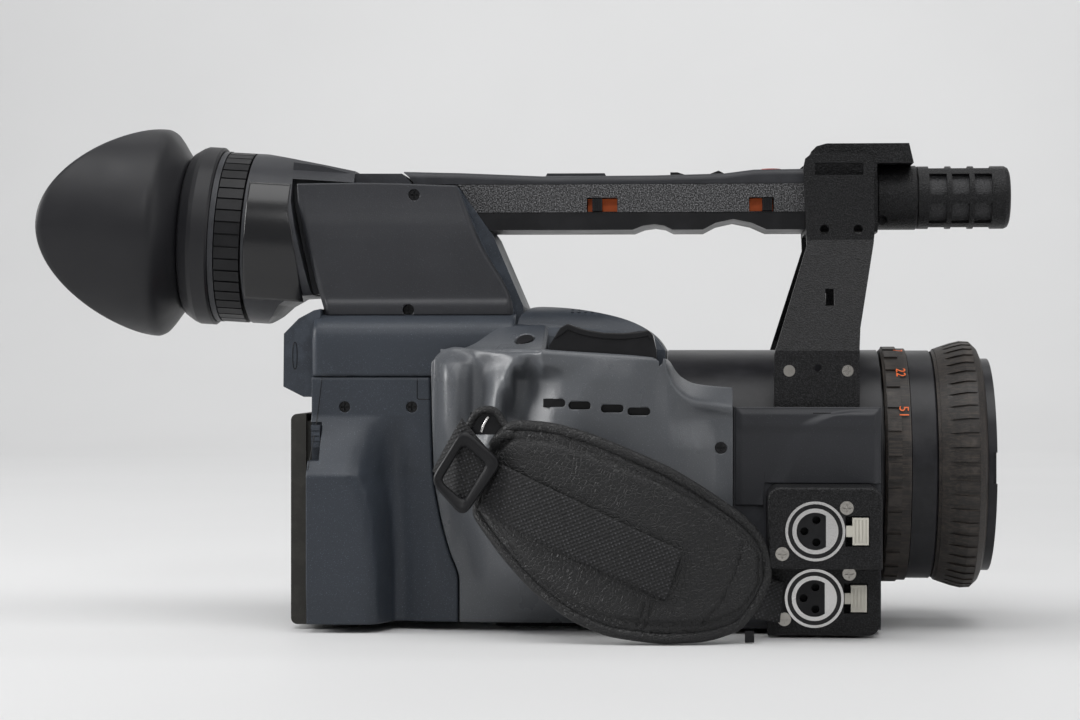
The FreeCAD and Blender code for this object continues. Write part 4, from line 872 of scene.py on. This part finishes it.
def build_buckle():
    """Plastic frame of the rear end with its steel loop, leather tabs, small end pieces and a dark box as
    painted shade in the loop.
    """
    outer = rounded_loop([(-46.9, 79.4), (-32.3, 66.4), (-46.9, 45.8), (-59.3, 59.6)], 4.4)
    inner = rounded_loop([(-47.0, 73.0), (-38.4, 65.7), (-46.7, 52.2), (-55.2, 59.4)], 2.0)
    face, back = -88.3, -84.6
    section = [(0.0, face + 0.9), (0.28, face), (0.72, face + 0.8), (1.0, face + 1.7),
               (1.0, back), (0.0, back)]
    verts = []
    for point, other in zip(outer, inner):
        for share, y in section:
            spot = point.lerp(other, share)
            verts.append((spot.x, y, spot.y))
    loop = mesh_object("strap_frame", verts, bar_faces(len(outer), len(section)), MATS["black_plastic"])
    round_edges(loop, 0.0005)
    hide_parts("strap_hardware")
    wire = [(-40.6, -81.4, 77.4), (-40.0, -81.8, 79.6), (-38.8, -82.0, 81.6), (-38.0, -81.8, 83.0)]
    ring = tube("strap_ring", wire, 0.5, MATS["bright_metal"], 8)
    tab = [(-45.4, -79.6, 79.6), (-43.4, -80.2, 83.6), (-40.4, -80.6, 85.8), (-35.4, -80.6, 85.4),
           (-33.0, -80.8, 81.4), (-31.0, -81.6, 78.6), (-25.6, -82.4, 77.4)]
    fold = [(-36.2, -80.4, 72.4), (-34.0, -82.4, 75.6), (-30.8, -83.4, 76.8), (-24.6, -81.6, 76.2),
            (-18.0, -79.0, 74.6)]
    for name, line, radius in (("strap_leather_loop", tab, 1.5), ("strap_leather_fold", fold, 2.1)):
        piece = tube(name, line, radius, MATS["strap_leather"], 12)
    # A dark box stands in for the painted shade inside the leather loop.
    block("strap_loop_painted_shade", (-45.0, -79.4, 76.4), (-33.6, -77.0, 84.6))
    block("strap_front_lug", (68.4, -65.3, 9.7), (71.0, -62.1, 21.0), "black_plastic")
    block("strap_tail_end", (56.4, -82.8, 0.4), (59.8, -81.4, 4.6), "black_plastic")


# ------------------------------------------------------------------ pillar, deck and front casing skins
def skin(name, left, right, low, high, depth, face, slot, columns, rows, holes=()):
    """A thin moulded skin over a flat casing wall at y = face, front shaped by depth(x, z)."""
    shell = panel(name, left, right, low, high, lambda x, z: depth(x, z) + SIDE_WALL - face, MATS[slot],
                  columns, rows, back=face + 0.15)
    if holes:
        carve(shell, [rounded_cutter("cut_hole", (x, face, z), (4.5, 14, 4.5), 2.2) for x, z in holes])


CHEEK_REAR = [(121.3, -106.6), (124.2, -106.7), (131, -108.7), (145, -112.6), (154, -114.6),
              (165.3, -116.9), (173, -117.2)]
CHEEK_FRONT = [(121.3, -32.6), (123, -32.6), (150.1, -45.3), (171.8, -54.5)]
CHEEK_TOP = [(-117, 172.9), (-92, 173.1), (-54.6, 171.9)]
CHEEK_CROWN = [(121.3, 2.9), (124.6, 3.1), (126.2, 2.9), (127.6, 1.9), (129.5, 1.8), (140, 2.3),
               (150, 2.4), (156, 2.1), (162, 1.3), (167, 0.7), (173, 0.25)]


def cheek_depth(x, z):
    depth = smooth_line(CHEEK_CROWN, z)
    front = smooth_line(CHEEK_FRONT, z) - x
    rear = x - smooth_line(CHEEK_REAR, z)
    return 0.2 + (depth - 0.2) * step(0, 1.6, front) * step(0, 2.0, rear)


def build_cheek():
    """Crowned near face of the rear pillar."""
    skin("pillar_cheek_skin", lambda z: smooth_line(CHEEK_REAR, z), lambda z: smooth_line(CHEEK_FRONT, z),
         lambda x: 121.4, lambda x: smooth_line(CHEEK_TOP, x), cheek_depth, -30.0, "casing_dark", 90, 80,
         [(-71.2, 168.3), (-73.2, 123.4)])


DECK_ARC = [(-42.7, 98.0), (-43.0, 104.0), (-43.1, 110.0), (-42.9, 113.4), (-42.1, 116.2), (-39.8, 118.8),
            (-35.6, 120.7), (-30.1, 121.8)]


def build_deck():
    """Smooth shoulder of the top casing under the pillar."""
    across = [(i, y) for i, (y, _) in enumerate(DECK_ARC)]
    upward = [(i, z) for i, (_, z) in enumerate(DECK_ARC)]
    between = 5
    places = [k / between for k in range(between * (len(DECK_ARC) - 1))]
    section = [(smooth_line(across, t), smooth_line(upward, t)) for t in places]
    section += [DECK_ARC[-1], (-30.1, 121.3), (-40.0, 97.9)]
    columns, rear, length = 40, -109.3, 78.0
    verts = []
    for i in range(columns):
        x = rear + length * i / (columns - 1)
        fade = step(0, 2.0, x - rear)
        for y, z in section:
            inset = 0.985 + 0.015 * fade if y < -40.2 or z > 99 else 1.0
            verts.append((x, y * inset, z - 0.25 * (1 - fade)))
    rows = len(section)
    faces = bar_faces(columns, rows, wrap=False)
    faces += [tuple(range(rows)), tuple(range((columns - 1) * rows, columns * rows))[::-1]]
    deck = mesh_object("top_casing_shoulder", verts, faces, MATS["casing_blue_grey"])


SKIN_REAR, SKIN_FRONT, SKIN_TOP = 53.2, 108.2, 86.2


def front_depth(x, z):
    ridge = smooth_line([(48, 63.0), (58, 69.0), (79, 80.0), (83, 88.0), (90, 140.0)], z)
    depth = 0.3 + 1.3 * step(-3.5, 3.5, x - ridge) + 0.5 * step(76, 80, z)
    edge = min(86.0 - z, x - SKIN_REAR, SKIN_FRONT - x)
    return 0.15 + depth * step(0, 3.0, edge)


def build_front():
    """Front casing face, with a step that runs up beside the zoom ring."""
    skin("front_casing_skin", lambda z: SKIN_REAR, lambda z: SKIN_FRONT, lambda x: 48.9 if x < 64 else 57.4,
         lambda x: SKIN_TOP, front_depth, -50.0, "casing_dark", 110, 80)
    seam("front_casing_mark", [(82.6, 83.9), (89.4, 83.9)], lambda x, z: 8.0 + front_depth(x, z), 0.22)


# ------------------------------------------------------------------ sockets, label and dial marks
def build_sockets():
    """Gap, bright collar and key of each round 3-pin socket."""
    radius, last = 7.2, 12
    half = math.acos(3.9 / radius)
    for name, x, y, z in (("upper", 82.3, -78.0, 41.0), ("lower", 82.6, -62.0, 14.9)):
        disc_ring("socket_gap_" + name, (x, z), 10.1, 8.3, y + 0.5, y + 2.5, "gloss_black")
        disc_ring("socket_collar_" + name, (x, z), 8.42, 6.9, y - 0.55, y + 1.2, "bright_metal")
        arc = [-half + 2 * half * k / last for k in range(last + 1)]
        verts = [(x + radius * math.cos(angle), level, z + radius * math.sin(angle))
                 for level in (y - 0.45, y + 0.6) for angle in arc]
        count = len(arc)
        faces = [tuple(range(count)), tuple(range(count, 2 * count))[::-1]]
        faces += [(k, k + 1, k + count + 1, k + count) for k in range(last)]
        faces.append((last, 0, count, count + last))
        key = mesh_object("socket_key_" + name, verts, faces, MATS["bright_metal"], smooth=False)


LABEL_FRONT = [(-30, -113.6), (-20, -114.6), (-8, -116.8), (2, -118.8), (12, -121.2), (34, -121.6)]
LABEL_REAR = -137.6
LABEL_RADIUS = 34.35


def build_label():
    """Plain glossy patch on the near side of the viewfinder, left blank."""
    columns, rows = 26, 40
    verts = []
    for k in range(rows):
        angle = math.radians(-46 + 84 * k / (rows - 1))
        front = smooth_line(LABEL_FRONT, 34.0 * math.sin(angle))
        for i in range(columns):
            x = LABEL_REAR + (front - LABEL_REAR) * i / (columns - 1)
            verts.append(on_evf(x, -LABEL_RADIUS * math.cos(angle),
                                EVF_AT.z + LABEL_RADIUS * math.sin(angle)))
    patch = mesh_object("evf_label_patch", verts, grid_faces(rows, columns), LABEL_GLOSS, "viewfinder")
    thick = patch.modifiers.new("thickness", "SOLIDIFY")
    thick.thickness = 0.0001


def build_numbers():
    """Plain focal numbers round the zoom ring."""
    ring_radius, axis_height = 46.5, 62.8
    for value, angle, x in (("7", 75, 117.0), ("22", 51.5, 117.0), ("51", 27.5, 117.4)):
        curve = bpy.data.curves.new("zoom_number_" + value, "FONT")
        curve.body = value
        curve.size = 0.0052
        curve.extrude = 0.00006
        curve.align_x = "CENTER"
        curve.align_y = "CENTER"
        obj = linked("zoom_number_" + value, curve)
        obj.data.materials.append(MATS["orange_plastic"])
        a = math.radians(angle)
        out = Vector((0, -math.cos(a), math.sin(a)))
        down = Vector((0, -math.sin(a), -math.cos(a)))
        basis = Matrix((down, Vector((1, 0, 0)), out)).transposed().to_4x4()
        basis.translation = Vector((x, 0, axis_height)) * MM + out * ring_radius * MM
        obj.matrix_world = basis
        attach(obj, "zoom")


# ------------------------------------------------------------------ stage, in metres
def area_light(name, place, aim, size, power):
    light = bpy.data.lights.new(name, "AREA")
    light.shape = "RECTANGLE"
    light.size, light.size_y = size
    light.energy = power
    obj = linked(name, light)
    obj.location = place
    obj.rotation_euler = (Vector(aim) - Vector(place)).to_track_quat("-Z", "Y").to_euler()


def build_stage():
    """Pale paper sweep, soft surroundings and five area lights."""
    bend, bend_start, half_width, turns = 1.2, 1.9, 5.0, 24
    line = [(-6.0, 0.0)]
    for i in range(turns + 1):
        angle = math.pi / 2 * i / turns
        line.append((bend_start + bend * math.sin(angle), bend - bend * math.cos(angle)))
    line.append((bend_start + bend, 4.5))
    verts = [(x, y, z) for x in (-half_width, half_width) for y, z in line]
    count = len(line)
    mesh = bpy.data.meshes.new("backdrop")
    mesh.from_pydata(verts, [], [(k, k + 1, count + k + 1, count + k) for k in range(count - 1)])
    for poly in mesh.polygons:
        poly.use_smooth = True
    floor = linked("backdrop", mesh)
    mat, tree, shader = nodes_of("paper")
    cloud = noise(tree, object_coords(tree), 3.0)
    patterned(tree, shader, "Base Color", cloud, 0.3, 0.7, rgba(0.62), rgba(0.64))
    shader.inputs["Roughness"].default_value = 0.6
    shader.inputs["Specular IOR Level"].default_value = 0.3
    floor.data.materials.append(mat)
    world = bpy.data.worlds.new("studio")
    world.use_nodes = True
    sky = world.node_tree.nodes["Background"]
    sky.inputs["Color"].default_value = (0.97, 0.98, 1.0, 1)
    sky.inputs["Strength"].default_value = 0.34
    bpy.context.scene.world = world
    area_light("key", (-1.5, -0.15, 0.6), (0, 0, 0.1), (0.7, 0.6), 18)
    area_light("front", (-0.05, -1.45, 1.0), (0.0, 0, 0.1), (0.3, 0.2), 3.4)
    area_light("top", (0.05, -0.45, 1.35), (0, 0, 0.1), (1.7, 0.9), 14)
    area_light("side", (1.3, -0.35, 0.6), (0.05, 0, 0.1), (0.6, 0.9), 2.5)
    area_light("rear", (0.0, 1.3, 2.2), (0, 3.0, 0.8), (3.0, 1.2), 44)


def build_camera():
    """Level camera on the operator's right, turned a little to the rear."""
    camera = bpy.data.cameras.new("view")
    camera.sensor_width = 36.0
    camera.lens = 87.5
    camera.clip_start = 0.05
    camera.clip_end = 20
    obj = linked("view", camera)
    obj.location = (0.0410, -1.0478, 0.104)
    obj.rotation_euler = (math.pi / 2, 0, math.asin(0.0619))
    bpy.context.scene.camera = obj


dress_frame()
build_eyecup()
build_grip()
build_cover()
build_pad()
build_webbing()
build_buckle()
build_bridge()
build_rocker_lip()
build_rear_mark()
build_cheek()
build_deck()
build_front()
build_sockets()
build_label()
build_numbers()
build_stage()
build_camera()
bpy.context.scene.view_settings.view_transform = "Standard"
